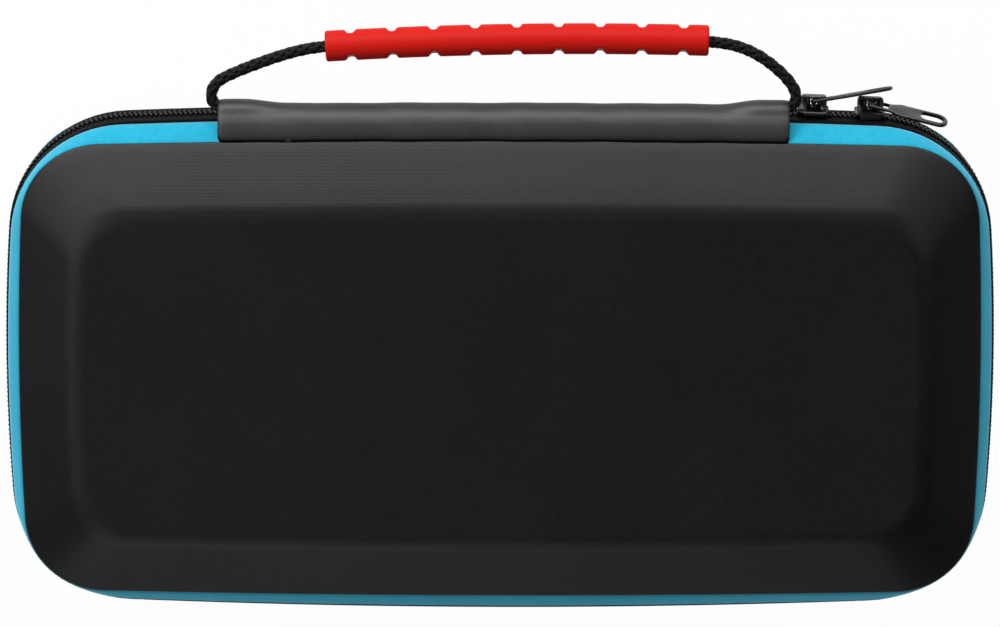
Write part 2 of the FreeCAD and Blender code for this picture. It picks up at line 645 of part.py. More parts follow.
def make_grip():
    """The notched grip: a thick tube, bent a little at every other notch to an arc about its origin.

    Each stretch between two bends is a straight tube, cut off where the arc's radii pass through the
    notches.
    """
    bend, turn = value("grip_bend"), value("1 / grip_bend")
    count, pitch = int(value("notch_count")), value("notch_pitch")
    lead = (value("grip_length") - pitch * (count - 1)) / 2
    beyond, side = 2 * value("grip_radius"), Vector(0, 0, 1)
    places = range(-2, count + 2, 2)
    radials = [Vector(math.sin(pitch * place * turn), math.cos(pitch * place * turn), 0) for place in places]
    last = len(places) - 2
    stretches = []
    for number, (start, end) in enumerate(zip(radials, radials[1:])):
        chord = (end - start) * bend
        ahead = Vector(chord).normalize()
        near = chord.Length - lead if number == 0 else -beyond
        far = lead if number == last else chord.Length + beyond
        place = Placement(start * bend + ahead * near, Rotation(side, ahead.cross(side), ahead, "ZXY"))
        tube = Part.makeCylinder(value("grip_radius"), far - near)
        tube = tube.cut(Part.makeCylinder(value("grip_bore"), far - near))
        tube.Placement = place
        wedge = Part.Face(Part.makePolygon([Vector(), start * 2 * bend, end * 2 * bend, Vector()]))
        wedge.translate(side * -beyond)
        stretches.append(tube.common(wedge.extrude(side * 2 * beyond)))
    shape = stretches[0].fuse(stretches[1:])
    ends = [f for f in shape.Faces if f.Surface.TypeId == "Part::GeomPlane" and len(f.Wires) == 2]
    rims = [edge for face in ends for edge in face.OuterWire.Edges]
    shape = shape.makeChamfer(value("grip_end_slant"), rims)

    surface, floor = value("grip_radius"), value("grip_radius - notch_depth")
    wide, narrow = value("notch_wide"), value("notch_narrow")
    flare = 2 * wide - narrow
    over = surface + value("notch_depth")
    cutters = []
    for number in range(count):
        for out in (1, -1):
            corners = [(-flare, over), (-narrow, floor), (narrow, floor), (flare, over), (-flare, over)]
            ring = Part.makePolygon([Vector(across, bend + out * up, -beyond) for across, up in corners])
            cutter = Part.Face(ring).extrude(Vector(0, 0, 2 * beyond))
            cutter.rotate(Vector(), Vector(0, 0, 1), -math.degrees(pitch * number * turn))
            cutters.append(cutter)
    grip = doc.addObject("Part::Feature", "handle_grip")
    grip.Label = "handle_grip"
    grip.Shape = shape.cut(cutters)
    full = value("grip_length * pi * (grip_radius^2 - grip_bore^2)")
    if not 0.8 < grip.Shape.Volume / full < 1:
        raise RuntimeError("the grip has the wrong volume")
    slope = math.radians(value("grip_slope"))
    middle = Vector(value("grip_middle_x"), value("grip_middle_y"), value("swing_z"))
    centre = middle + Vector(math.sin(slope), -math.cos(slope), 0) * bend
    first_notch = value("grip_slope") + math.degrees(turn * pitch * (count - 1) / 2)
    grip.Placement = Placement(centre, Rotation(Vector(0, 0, 1), first_notch))
    subparts.append(grip)


def make_rope():
    """The rope: straight runs joined by tangent arcs, each as large as its two runs allow."""
    points = [Vector(x, y, value("swing_z")) for x, y in ROPE_ROUTE]
    share = 0.45
    edges, here, radii = [], points[0], []
    for before, at, after in zip(points, points[1:], points[2:]):
        back, ahead = before - at, after - at
        shorter = min(back.Length, ahead.Length)
        turn = math.pi - back.getAngle(ahead)
        radii.append(share * shorter / math.tan(turn / 2))
        back.normalize()
        ahead.normalize()
        start, end = at + back * share * shorter, at + ahead * share * shorter
        to_centre = (back + ahead).normalize()
        middle = at + to_centre * radii[-1] * (1 / math.cos(turn / 2) - 1)
        edges.append(Part.LineSegment(here, start).toShape())
        edges.append(Part.Arc(start, middle, end).toShape())
        here = end
    edges.append(Part.LineSegment(here, points[-1]).toShape())
    path = Part.Wire(edges)
    radius = value("rope_radius")
    ring = Part.Wire([Part.Circle(points[0], points[1] - points[0], radius).toShape()])
    rope = doc.addObject("Part::Feature", "handle_rope")
    rope.Label = "handle_rope"
    rope.Shape = path.makePipeShell([ring], True, False)
    rope.Placement = Placement()
    subparts.append(rope)
    print("rope radii", " ".join(f"{bend:.1f}" for bend in radii))
    print(f"rope length {path.Length:.1f}, volume over section times length "
          f"{rope.Shape.Volume / (math.pi * radius ** 2 * path.Length):.4f}")


def crest_place(x):
    """Where the zip's top run is at x, and its slope there in degrees."""
    radius = value(bow_radius("crest", "long"))
    tilt = math.asin(x / radius)
    height = value("crest_half_y") - radius * (1 - math.cos(tilt))
    return Vector(x, height, value("half_depth")), -math.degrees(tilt)


def make_slider(name, x):
    """A zip slider: an outer plate with two lips, an inner plate, the wedge between them, and the arch."""
    body = new_body(name)
    roof = "(coil_out + channel_out)"
    floor = "(-coil_in - channel_in)"
    crown = f"({roof} + slider_wall)"
    back = "-slider_length / 2"
    sketch = new_sketch(body, "YZ_Plane", back)
    rectangle(sketch, f"{floor} - slider_wall", floor, "-slider_inner", "slider_inner")
    pad(body, sketch, "slider_length")
    sketch = new_sketch(body, "YZ_Plane", "slider_length / 2 - post_length")
    rectangle(sketch, floor, roof, "-post_half", "post_half")
    pad(body, sketch, "post_length")
    sketch = new_sketch(body, "YZ_Plane", back)
    rectangle(sketch, roof, crown, "-slider_half", "slider_half")
    pad(body, sketch, "slider_length")
    half_length, half_width, inner = value("slider_length / 2"), value("slider_half"), value("slider_inner")

    def plate_corner(edge):
        point = edge.CenterOfMass
        at_side = abs(abs(point.z) - half_width) < 1e-4 or abs(abs(point.z) - inner) < 1e-4
        return abs(abs(point.x) - half_length) < 1e-4 and at_side

    round_edges(body, "slider_round", runs_along("y", plate_corner))
    lip_top = f"({roof} + slider_wall / 2)"
    sketch = new_sketch(body, "YZ_Plane", f"{back} + slider_round")
    rectangle(sketch, "channel_out", lip_top, "channel_half", "slider_half")
    rectangle(sketch, "channel_out", lip_top, "-slider_half", "-channel_half")
    pad(body, sketch, "slider_length - 2 * slider_round")
    sketch = new_sketch(body, "XY_Plane", "0")
    outer, inner_end = "arch_half", "(arch_half - arch_leg)"
    window, top = f"{crown} + arch_window", f"{crown} + arch_window + arch_wall"
    polygon(sketch, [
        (f"-{outer}", lip_top), (f"-{inner_end}", lip_top), (f"-{inner_end}", window), (inner_end, window),
        (inner_end, lip_top), (outer, lip_top), (outer, top), (f"-{outer}", top),
    ])
    pad(body, sketch, "2 * arch_wide", symmetric=True)
    round_edges(body, "arch_wall", runs_along("z", lies_at("y", value(top))))
    place, slope = crest_place(x)
    body.Placement = Placement(place, Rotation(Vector(0, 0, 1), slope))
    return body


def make_pull(name, slider, angle, roll):
    """A cast pull: a bar under the slider's arch, an eye for the arch, and an oval hole near the tip."""
    body = new_body(name)
    bar = "(pull_wall / 2)"
    sketch = new_sketch(body, "XZ_Plane", "0")
    shoulder = "(pull_neck + 2 * (pull_half - pull_root))"
    polygon(sketch, [
        (f"-{bar}", "-pull_root"), ("pull_neck", "-pull_root"), (shoulder, "-pull_half"),
        ("pull_length", "-pull_half"), ("pull_length", "pull_half"), (shoulder, "pull_half"),
        ("pull_neck", "pull_root"), (f"-{bar}", "pull_root"),
    ])
    pad(body, sketch, "pull_wall", symmetric=True)
    round_edges(body, "pull_half * 0.9", runs_along("y", lies_at("x", value("pull_length"))))
    round_edges(body, "pull_wall * 0.6", runs_along("y", lies_at("x", value(f"-{bar}"))))
    above, below = lies_at("y", value(bar)), lies_at("y", value(f"-{bar}"))
    chamfer_edges(body, "pull_edge", lambda edge: above(edge) or below(edge))
    sketch = new_sketch(body, "XZ_Plane", "0")
    rectangle(sketch, bar, "eye_length", "-eye_half", "eye_half")
    far_end = "(pull_length - hole_margin)"
    rectangle(sketch, f"{far_end} - hole_length", far_end, "-hole_half", "hole_half")
    pocket(body, sketch, "2 * pull_wall", symmetric=True)
    at_near = lies_at("x", value(f"{far_end} - hole_length"))
    at_far = lies_at("x", value(far_end))
    round_edges(body, "hole_half * 0.9", runs_along("y", lambda edge: at_near(edge) or at_far(edge)))
    pivot = slider.Placement.multVec(Vector(0, value("coil_out + channel_out + slider_wall + pivot_rise"), 0))
    turned = slider.Placement.Rotation
    lean = Rotation(Vector(0, 0, 1), math.degrees(turned.Angle) * turned.Axis.z + value(angle))
    body.Placement = Placement(pivot, lean.multiply(Rotation(Vector(1, 0, 0), value(roll))))
    axis = body.Placement.Rotation.multVec(Vector(0, 0, 1))
    print(name, "pivot", [round(c, 4) for c in pivot], "axis", [round(c, 5) for c in axis])


for half in ("rear", "front"):
    make_shell(half)
    make_gusset(half)
    make_zip(half)
    make_spine(half)
    make_binding(half)
make_tray()
make_strap("strap_left", "-strap_place")
make_strap("strap_right", "strap_place")
make_pouch()
make_flap()
make_sleeve()
make_grip()
make_rope()
left_slider = make_slider("slider_left", value("slider_left_x"))
right_slider = make_slider("slider_right", value("slider_right_x"))
make_pull("pull_left", left_slider, "pull_left_angle", "pull_left_roll")
make_pull("pull_right", right_slider, "pull_right_angle", "pull_right_roll")
doc.recompute()

for thing in doc.Objects:
    if "Invalid" in thing.State or "Error" in thing.State:
        raise RuntimeError(f"{thing.Name} is {thing.State}")
for part in subparts:
    if part.Shape.isNull() or not part.Shape.isValid() or not part.Shape.Solids:
        raise RuntimeError(f"{part.Label} has no valid solid")

os.makedirs("parts", exist_ok=True)
whole = FreeCAD.BoundBox()
for part in subparts:
    part.Shape.exportStep(f"parts/{part.Label}.step")
    whole.add(part.Shape.BoundBox)
    print(f"{part.Label}: {len(part.Shape.Solids)} solid, {part.Shape.Volume:.0f} mm3, "
          f"{len(part.Shape.Faces)} faces")
corner_of_zip = corner_centre("crest")
hinge_line = value("-crest_half_y - hinge_out")
print(f"corner centre {corner_of_zip.x:.3f} {corner_of_zip.y:.3f}, hinge line y {hinge_line:.3f}")
print("box", [round(c, 2) for c in (whole.XMin, whole.XMax, whole.YMin, whole.YMax, whole.ZMin, whole.ZMax)])
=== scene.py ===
import math

import bmesh
import bpy
from mathutils import Matrix, Vector


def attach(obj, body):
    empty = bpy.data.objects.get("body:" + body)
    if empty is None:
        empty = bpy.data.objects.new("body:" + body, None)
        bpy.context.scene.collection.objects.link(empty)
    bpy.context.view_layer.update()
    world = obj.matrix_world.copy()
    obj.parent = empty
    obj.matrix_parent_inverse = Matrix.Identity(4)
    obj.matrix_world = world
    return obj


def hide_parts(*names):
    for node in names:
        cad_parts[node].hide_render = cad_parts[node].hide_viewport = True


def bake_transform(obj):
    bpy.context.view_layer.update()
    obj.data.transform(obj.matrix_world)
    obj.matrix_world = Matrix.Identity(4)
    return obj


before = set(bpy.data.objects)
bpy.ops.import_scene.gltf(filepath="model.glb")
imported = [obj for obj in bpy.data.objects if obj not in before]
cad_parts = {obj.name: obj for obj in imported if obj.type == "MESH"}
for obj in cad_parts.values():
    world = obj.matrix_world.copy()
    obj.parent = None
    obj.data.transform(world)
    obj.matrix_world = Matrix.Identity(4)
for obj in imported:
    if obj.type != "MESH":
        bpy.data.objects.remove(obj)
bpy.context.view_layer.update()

# The picture: the case lies on its back on a white table, seen from above and a little from its handle's
# side, by a camera far enough away to keep its sides parallel. A row of lamps beyond the handle gives the
# slope there its sheen. Others light the face from the left and above, and weakly from the right and near.
MM = 0.001
PICTURE_WIDTH = 1000
VIEW_TILT = math.radians(16.0)
VIEW_ROLL = math.radians(0.12)
CAMERA_DISTANCE = 2.2
PIXELS_PER_MM = 3.787
AIM = Vector((0.0, 11.87, 22.5)) * MM
SENSOR_WIDTH = 36.0
ROOM_LIGHT = 0.02
FLOOR_SIZE = 4.0
FLOOR_GLOW = 0.97
MIRRORED_NEAR = 0.25
MIRRORED_FAR = 0.5
scene = bpy.context.scene
scene.view_settings.view_transform = "Standard"


def linear(colour):
    """An sRGB hex colour as linear red, green, blue and alpha."""
    parts = [int(colour[start:start + 2], 16) / 255 for start in (1, 3, 5)]
    parts = [part / 12.92 if part <= 0.04045 else ((part + 0.055) / 1.055) ** 2.4 for part in parts]
    return (*parts, 1.0)


def add_node(owner, kind, inputs=None, **settings):
    """Add a node with its settings; each input gets a value or the output that feeds it."""
    tree = owner.node_tree
    node = tree.nodes.new(kind)
    for name, setting in settings.items():
        setattr(node, name, setting)
    for name, given in (inputs or {}).items():
        if isinstance(given, bpy.types.NodeSocket):
            tree.links.new(given, node.inputs[name])
        else:
            node.inputs[name].default_value = given
    return node


towards_camera = Vector((0.0, math.sin(VIEW_TILT), math.cos(VIEW_TILT)))
camera_data = bpy.data.cameras.new("camera")
camera_data.sensor_width = SENSOR_WIDTH
camera_data.lens = SENSOR_WIDTH * CAMERA_DISTANCE / (PICTURE_WIDTH / PIXELS_PER_MM * MM)
camera_data.clip_end = 20.0
camera = bpy.data.objects.new("camera", camera_data)
camera.location = AIM + towards_camera * CAMERA_DISTANCE
camera.rotation_euler = (Matrix.Rotation(-VIEW_TILT, 3, "X") @ Matrix.Rotation(VIEW_ROLL, 3, "Z")).to_euler()
scene.collection.objects.link(camera)
scene.camera = camera


def add_lamp(name, place, size, power):
    """A soft rectangular lamp that looks at the case."""
    data = bpy.data.lights.new(name, "AREA")
    data.shape = "RECTANGLE"
    data.size, data.size_y = size
    data.energy = power
    lamp = bpy.data.objects.new(name, data)
    lamp.location = place
    lamp.rotation_euler = (Vector(place) - AIM).to_track_quat("Z", "Y").to_euler()
    scene.collection.objects.link(lamp)


add_lamp("key_lamp", (-0.25, 1.30, 0.72), (1.3, 0.6), 15.8)
add_lamp("key_left_lamp", (-0.9, 1.1, 0.72), (0.8, 0.6), 9.0)
add_lamp("key_right_lamp", (0.7, 1.2, 0.72), (0.8, 0.6), 6.3)
add_lamp("left_lamp", (-1.2, 0.3, 1.2), (1.3, 1.3), 6.6)
add_lamp("overhead_lamp", (-0.75, -0.45, 1.5), (2.0, 2.0), 4.6)
add_lamp("right_lamp", (1.1, 0.3, 1.3), (0.9, 0.9), 1.8)
add_lamp("near_lamp", (-0.3, -1.4, 0.75), (1.0, 0.5), 2.5)

world = bpy.data.worlds.new("studio")
world.use_nodes = True
world.node_tree.nodes.clear()
room = add_node(world, "ShaderNodeBackground", {"Color": linear("#ffffff"), "Strength": ROOM_LIGHT})
add_node(world, "ShaderNodeOutputWorld", {"Surface": room.outputs[0]})
scene.world = world

bm = bmesh.new()
bmesh.ops.create_grid(bm, x_segments=1, y_segments=1, size=FLOOR_SIZE)
floor_mesh = bpy.data.meshes.new("floor")
bm.to_mesh(floor_mesh)
bm.free()
floor = bpy.data.objects.new("floor", floor_mesh)
scene.collection.objects.link(floor)
table_white = bpy.data.materials.new("table_white")
table_white.use_nodes = True
table_white.node_tree.nodes.clear()
matt = add_node(table_white, "ShaderNodeBsdfDiffuse", {"Color": linear("#f4f4f4")})
# The camera sees the table as plain white, and glossy surfaces do too where it lies close to the case
glow = add_node(table_white, "ShaderNodeEmission", {"Color": linear("#ffffff"), "Strength": 1.0})
path = add_node(table_white, "ShaderNodeLightPath")
seen = add_node(table_white, "ShaderNodeMath", {0: path.outputs["Is Glossy Ray"],
                                                1: path.outputs["Is Transmission Ray"]}, operation="MAXIMUM")
table_place = add_node(table_white, "ShaderNodeTexCoord")
distance = add_node(table_white, "ShaderNodeVectorMath", {0: table_place.outputs["Object"]},
                    operation="LENGTH")
nearby = add_node(table_white, "ShaderNodeMapRange", {
    "Value": distance.outputs["Value"], "From Min": MIRRORED_NEAR, "From Max": MIRRORED_FAR,
    "To Min": 1.0, "To Max": 0.0})
seen = add_node(table_white, "ShaderNodeMath", {0: seen.outputs[0], 1: nearby.outputs[0]},
                operation="MULTIPLY")
seen = add_node(table_white, "ShaderNodeMath", {0: seen.outputs[0], 1: path.outputs["Is Camera Ray"]},
                operation="MAXIMUM")
share = add_node(table_white, "ShaderNodeMath", {0: seen.outputs[0], 1: FLOOR_GLOW}, operation="MULTIPLY")
lit = add_node(table_white, "ShaderNodeMixShader", {0: share.outputs[0], 1: matt.outputs[0],
                                                    2: glow.outputs[0]})
add_node(table_white, "ShaderNodeOutputMaterial", {"Surface": lit.outputs[0]})
floor_mesh.materials.append(table_white)


# The handle's rope is a black braided cord, 3 mm thick. It leaves the sleeve's left end, runs through the
# grip and goes back into the sleeve's right end. Eight strands cross over and under one another.
ROPE_ROUTE = [
    (-69.4, 69.6), (-75.3, 69.6), (-75.6, 76.2), (-68.2, 80.0), (-54.0, 85.2), (-44.0, 86.75), (-22.0, 87.85),
    (22.0, 88.85), (52.0, 88.45), (65.4, 86.3), (77.2, 76.4), (77.2, 69.6), (71.4, 69.6),
]
SWING_HEIGHT = 30.2
ROPE_DIAMETER = 3.0
STRANDS_EACH_WAY = 4
BRAID_PITCH = 13.0
STRAND_RADIUS = 0.66
STRAND_FLATNESS = 0.62
STRAND_WEAVE = 0.16
STRAND_STEP = 0.55
STRAND_SIDES = 6
ROPE_CORE_SIDES = 10
FIBRE_SIZE = 0.385


def new_piece(name, bm, *materials):
    """Make an object of a bmesh in millimetres, shaded smooth, with outward normals and its materials."""
    bmesh.ops.recalc_face_normals(bm, faces=bm.faces)
    bmesh.ops.scale(bm, vec=(MM, MM, MM), verts=bm.verts)
    mesh = bpy.data.meshes.new(name)
    bm.to_mesh(mesh)
    bm.free()
    piece = bpy.data.objects.new(name, mesh)
    scene.collection.objects.link(piece)
    for material in materials:
        mesh.materials.append(material)
    mesh.shade_smooth()
    return piece


def new_material(name, colour, roughness, **sockets):
    """A material with one principled shader, its even values on the shader's own sockets."""
    material = bpy.data.materials.new(name)
    material.use_nodes = True
    shader = material.node_tree.nodes["Principled BSDF"]
    shader.inputs["Base Color"].default_value = linear(colour)
    shader.inputs["Roughness"].default_value = roughness
    for socket, setting in sockets.items():
        shader.inputs[socket.replace("_", " ")].default_value = setting
    return material, shader


def raise_bumps(material, shader, height, depth, strength=1.0):
    """Let a height pattern stand out of a material's surface by a depth in millimetres."""
    bump = add_node(material, "ShaderNodeBump", {"Height": height, "Strength": strength,
                                                 "Distance": depth * MM})
    material.node_tree.links.new(bump.outputs[0], shader.inputs["Normal"])


def spline_points(control_points, step):
    """Points a step apart along one open NURBS spline with these control points."""
    data = bpy.data.curves.new("route", "CURVE")
    data.dimensions = "3D"
    data.resolution_u = 24
    spline = data.splines.new("NURBS")
    spline.points.add(len(control_points) - 1)
    for control, point in zip(spline.points, control_points):
        control.co = (*point, 1.0)
    spline.order_u = 3
    spline.use_endpoint_u = True
    curve = bpy.data.objects.new("route", data)
    scene.collection.objects.link(curve)
    bpy.context.view_layer.update()
    mesh = bpy.data.meshes.new_from_object(curve)
    line = [vertex.co.copy() for vertex in mesh.vertices]
    bpy.data.objects.remove(curve)
    total = sum((b - a).length for a, b in zip(line, line[1:]))
    count = max(2, round(total / step))
    points, walked, index = [], 0.0, 0
    for number in range(count + 1):
        target = total * number / count
        while index < len(line) - 2 and walked + (line[index + 1] - line[index]).length < target:
            walked += (line[index + 1] - line[index]).length
            index += 1
        run = line[index + 1] - line[index]
        points.append(line[index] + run * min(1.0, (target - walked) / run.length))
    return points, total


def lay_strand(rope_bm, centres, outward, radius, flatness, sides):
    """Add a closed tube through its centres, squeezed flat along the outward directions."""
    bm = bmesh.new()
    rings = []
    for number, centre in enumerate(centres):
        ahead = centres[min(number + 1, len(centres) - 1)] - centres[max(number - 1, 0)]
        ahead.normalize()
        across = (outward[number] - ahead * outward[number].dot(ahead)).normalized()
        place = Matrix((across, ahead.cross(across), ahead)).transposed().to_4x4()
        place.translation = centre
        circle = bmesh.ops.create_circle(bm, segments=sides, radius=radius)["verts"]
        bmesh.ops.transform(bm, matrix=place @ Matrix.Diagonal((flatness, 1.0, 1.0, 1.0)), verts=circle)
        rings.append(circle)
    for near, far in zip(rings, rings[1:]):
        for side in range(sides):
            following = (side + 1) % sides
            bm.faces.new((near[side], near[following], far[following], far[side]))
    bm.faces.new(reversed(rings[0]))
    bm.faces.new(rings[-1])
    bm.to_mesh(strand_mesh)
    bm.free()
    rope_bm.from_mesh(strand_mesh)


rope_path, rope_total = spline_points([Vector((x, y, SWING_HEIGHT)) for x, y in ROPE_ROUTE], STRAND_STEP)

# Polyester braid: dull black threads whose fibres break up the light. Real fibres are too fine to show, so
# they are drawn 0.4 mm wide
rope_black, rope_shader = new_material("braided_polyester", "#070708", 0.6, Specular_IOR_Level=0.2)
coordinates = add_node(rope_black, "ShaderNodeTexCoord")
fibres = add_node(rope_black, "ShaderNodeTexNoise", {"Vector": coordinates.outputs["Object"],
                                                     "Scale": 1 / (FIBRE_SIZE * MM), "Detail": 2.0})
raise_bumps(rope_black, rope_shader, fibres.outputs[0], depth=0.1, strength=0.4)

bm = bmesh.new()
strand_mesh = bpy.data.meshes.new("strand")
braid_radius = ROPE_DIAMETER / 2 - STRAND_RADIUS * STRAND_FLATNESS
for way in (1, -1):
    for strand in range(STRANDS_EACH_WAY):
        centres, outward = [], []
        across = Vector((0.0, 0.0, 1.0))
        for number, point in enumerate(rope_path):
            ahead = rope_path[min(number + 1, len(rope_path) - 1)] - rope_path[max(number - 1, 0)]
            ahead.normalize()
            across = (across - ahead * across.dot(ahead)).normalized()
            along = rope_total * number / (len(rope_path) - 1)
            angle = way * 2 * math.pi * (along / BRAID_PITCH + strand / STRANDS_EACH_WAY)
            weave = math.cos(STRANDS_EACH_WAY * angle * way + (math.pi if way < 0 else 0.0))
            away = across * math.cos(angle) + ahead.cross(across) * math.sin(angle)
            centres.append(point + away * (braid_radius + STRAND_WEAVE * weave))
            outward.append(away)
        lay_strand(bm, centres, outward, STRAND_RADIUS, STRAND_FLATNESS, STRAND_SIDES)
lay_strand(bm, rope_path, [Vector((0.0, 0.0, 1.0))] * len(rope_path), braid_radius, 1.0, ROPE_CORE_SIDES)
rope = new_piece("handle_rope_braid", bm, rope_black)
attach(rope, "handle")
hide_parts("handle_rope")


# The grip is a thick tube of soft red plastic, moulded in one piece and pushed over the rope. Nine shallow
# notches above and nine below let it bend to the hand. It lies rolled a little on its rope.
GRIP_RADIUS = 4.05
GRIP_BORE = 2.0
GRIP_BORE_DEPTH = 6.0
GRIP_LENGTH = 100.0
GRIP_BEND = 1087.0
GRIP_MIDDLE = Vector((4.3, 88.47, SWING_HEIGHT))
GRIP_SLOPE = math.radians(1.0)
GRIP_ROLL = math.radians(20)
GRIP_END_ROUND = 0.5
NOTCH_COUNT = 9
NOTCH_PITCH = 10.84
NOTCH_DEPTH = 1.25
NOTCH_HALF = 1.1
NOTCH_SOFTNESS = 0.18
GRIP_STEP = 0.36
GRIP_SIDES = 40
GRAIN_SIZE = 0.714
GLOSS_PATCH = 11.1


def notch_depth(along):
    """How deep the nearest notch is at a place along the grip, with soft shoulders."""
    reach = NOTCH_PITCH * (NOTCH_COUNT - 1) / 2
    nearest = max(-reach, min(reach, round((along + reach) / NOTCH_PITCH) * NOTCH_PITCH - reach))
    return NOTCH_DEPTH / (1 + math.exp((abs(along - nearest) - NOTCH_HALF) / NOTCH_SOFTNESS))


bm = bmesh.new()
tube = bmesh.ops.create_circle(bm, segments=GRIP_SIDES, radius=GRIP_RADIUS)["verts"]
bmesh.ops.rotate(bm, cent=(0, 0, 0), matrix=Matrix.Rotation(math.pi / 2, 3, "Y"), verts=tube)
bmesh.ops.translate(bm, vec=(-GRIP_LENGTH / 2, 0, 0), verts=tube)
steps = round(GRIP_LENGTH / GRIP_STEP)
bmesh.ops.spin(bm, geom=bm.edges[:], cent=(0, 0, 0), axis=(1, 0, 0), dvec=(GRIP_LENGTH / steps, 0, 0),
               angle=0.0, steps=steps, use_duplicate=False)
for vertex in bm.verts:
    limit = GRIP_RADIUS - notch_depth(vertex.co.x)
    vertex.co.y = max(-limit, min(limit, vertex.co.y))
    from_end = GRIP_LENGTH / 2 - abs(vertex.co.x)
    if from_end < GRIP_END_ROUND:
        drop = GRIP_END_ROUND - math.sqrt(GRIP_END_ROUND ** 2 - (GRIP_END_ROUND - from_end) ** 2)
        vertex.co.yz = vertex.co.yz * (1 - drop / GRIP_RADIUS)
rims = [edge for edge in bm.edges if edge.is_boundary]
for out in (1, -1):
    rim = [edge for edge in rims if edge.verts[0].co.x * out > 0]
    bore = bmesh.ops.extrude_edge_only(bm, edges=rim)["geom"]
    ring = [item for item in bore if isinstance(item, bmesh.types.BMVert)]
    for vertex in ring:
        vertex.co.yz = vertex.co.yz.normalized() * GRIP_BORE
    inner = [item for item in bore if isinstance(item, bmesh.types.BMEdge) and item.is_boundary]
    deep = bmesh.ops.extrude_edge_only(bm, edges=inner)["geom"]
    bmesh.ops.translate(bm, vec=(-out * GRIP_BORE_DEPTH, 0, 0),
                        verts=[item for item in deep if isinstance(item, bmesh.types.BMVert)])
bmesh.ops.rotate(bm, cent=(0, 0, 0), matrix=Matrix.Rotation(-GRIP_ROLL, 3, "X"), verts=bm.verts)
for vertex in bm.verts:
    along, up = vertex.co.x, vertex.co.y
    turn = along / GRIP_BEND
    vertex.co.x = math.sin(turn) * (GRIP_BEND + up)
    vertex.co.y = math.cos(turn) * (GRIP_BEND + up) - GRIP_BEND
bmesh.ops.rotate(bm, cent=(0, 0, 0), matrix=Matrix.Rotation(GRIP_SLOPE, 3, "Z"), verts=bm.verts)
bmesh.ops.translate(bm, vec=GRIP_MIDDLE, verts=bm.verts)

# Soft red plastic from a blasted mould: a dull skin with a faint grain and a slightly uneven gloss. The real
# grain is too fine to show, so it is drawn 0.7 mm wide
grip_red, grip_shader = new_material("moulded_grip_plastic", "#bf1206", 0.55, Specular_IOR_Level=0.15,
                                     Subsurface_Weight=0.05, Subsurface_Scale=0.002)
grip_shader.inputs["Subsurface Radius"].default_value = (1.0, 0.25, 0.15)
coordinates = add_node(grip_red, "ShaderNodeTexCoord")
grain = add_node(grip_red, "ShaderNodeTexNoise", {"Vector": coordinates.outputs["Object"],
                                                  "Scale": 1 / (GRAIN_SIZE * MM), "Detail": 3.0})
raise_bumps(grip_red, grip_shader, grain.outputs[0], depth=0.05, strength=0.3)
patches = add_node(grip_red, "ShaderNodeTexNoise", {"Vector": coordinates.outputs["Object"],
                                                    "Scale": 1 / (GLOSS_PATCH * MM)})
gloss = add_node(grip_red, "ShaderNodeMapRange", {"Value": patches.outputs[0], "To Min": 0.5, "To Max": 0.62})
grip_red.node_tree.links.new(gloss.outputs[0], grip_shader.inputs["Roughness"])
grip = new_piece("handle_grip_tube", bm, grip_red)
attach(grip, "handle")
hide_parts("handle_grip")


# The two shells are sheets of foam, pressed to shape with black woven polyester outside and tricot inside.
# Each is a flat face with a bevelled rim, and its edge turns down into the seam with the blue band.
HALF_DEPTH = 22.5
ZIP_LINE = {"half_x": 130.0, "half_y": 67.6, "corner": 32.0, "long_bow": 2.0, "short_bow": 1.2}
SEAM_LINE = {"half_x": 126.6, "half_y": 62.5, "corner": 21.0, "long_bow": 1.2, "short_bow": 1.0}
CORNER_STEPS = 16
LONG_STEPS = 24
SHORT_STEPS = 12
SEAM_RISE = 12.5
BEVEL = 14.5
BEND_RADIUS = 10.0
SHELL_WALL = 3.0
FLAT_EDGE = 19.5
RIM_ROUND = 0.8
CORNER_GAIN = 8.0
FACE_EASE = 3.0
SEAM_LAP = 2.4
SEAM_TURN = 0.1
STRAY_FIBRE = 1.43
CLOUD_SIZE = 28.6
NAP_SIZE = 1.11
HALVES = (("front", "lid", 1), ("rear", "base", -1))


def outline_arcs(line):
    """The arcs of an outline, from the middle of its right side: centre, turn and steps of each."""
    long_radius = ((line["half_x"] - line["corner"]) ** 2 + line["long_bow"] ** 2) / (2 * line["long_bow"])
    short_radius = ((line["half_y"] - line["corner"]) ** 2 + line["short_bow"] ** 2) / (2 * line["short_bow"])
    top = Vector((0.0, line["half_y"] - long_radius))
    side = Vector((line["half_x"] - short_radius, 0.0))
    to_long, to_short = long_radius - line["corner"], short_radius - line["corner"]
    between = side - top
    along = (to_long ** 2 - to_short ** 2 + between.length_squared) / (2 * between.length)
    across = math.sqrt(to_long ** 2 - along ** 2)
    ahead = between.normalized()
    centre = top + ahead * along + Vector((ahead.y, -ahead.x)) * across
    at_side = math.atan2(centre.y - side.y, centre.x - side.x)
    at_top = math.atan2(centre.y - top.y, centre.x - top.x)
    arcs = [(side, at_side, SHORT_STEPS // 2)]
    for number, (out_x, out_y) in enumerate(((1, 1), (-1, 1), (-1, -1), (1, -1))):
        corner = Vector((centre.x * out_x, centre.y * out_y))
        arcs.append((corner, at_top - at_side, CORNER_STEPS))
        if number == 0:
            arcs.append((top, math.pi - 2 * at_top, LONG_STEPS))
        elif number == 1:
            arcs.append((-side, 2 * at_side, SHORT_STEPS))
        elif number == 2:
            arcs.append((-top, math.pi - 2 * at_top, LONG_STEPS))
    arcs.append((side, at_side, SHORT_STEPS // 2))
    return arcs


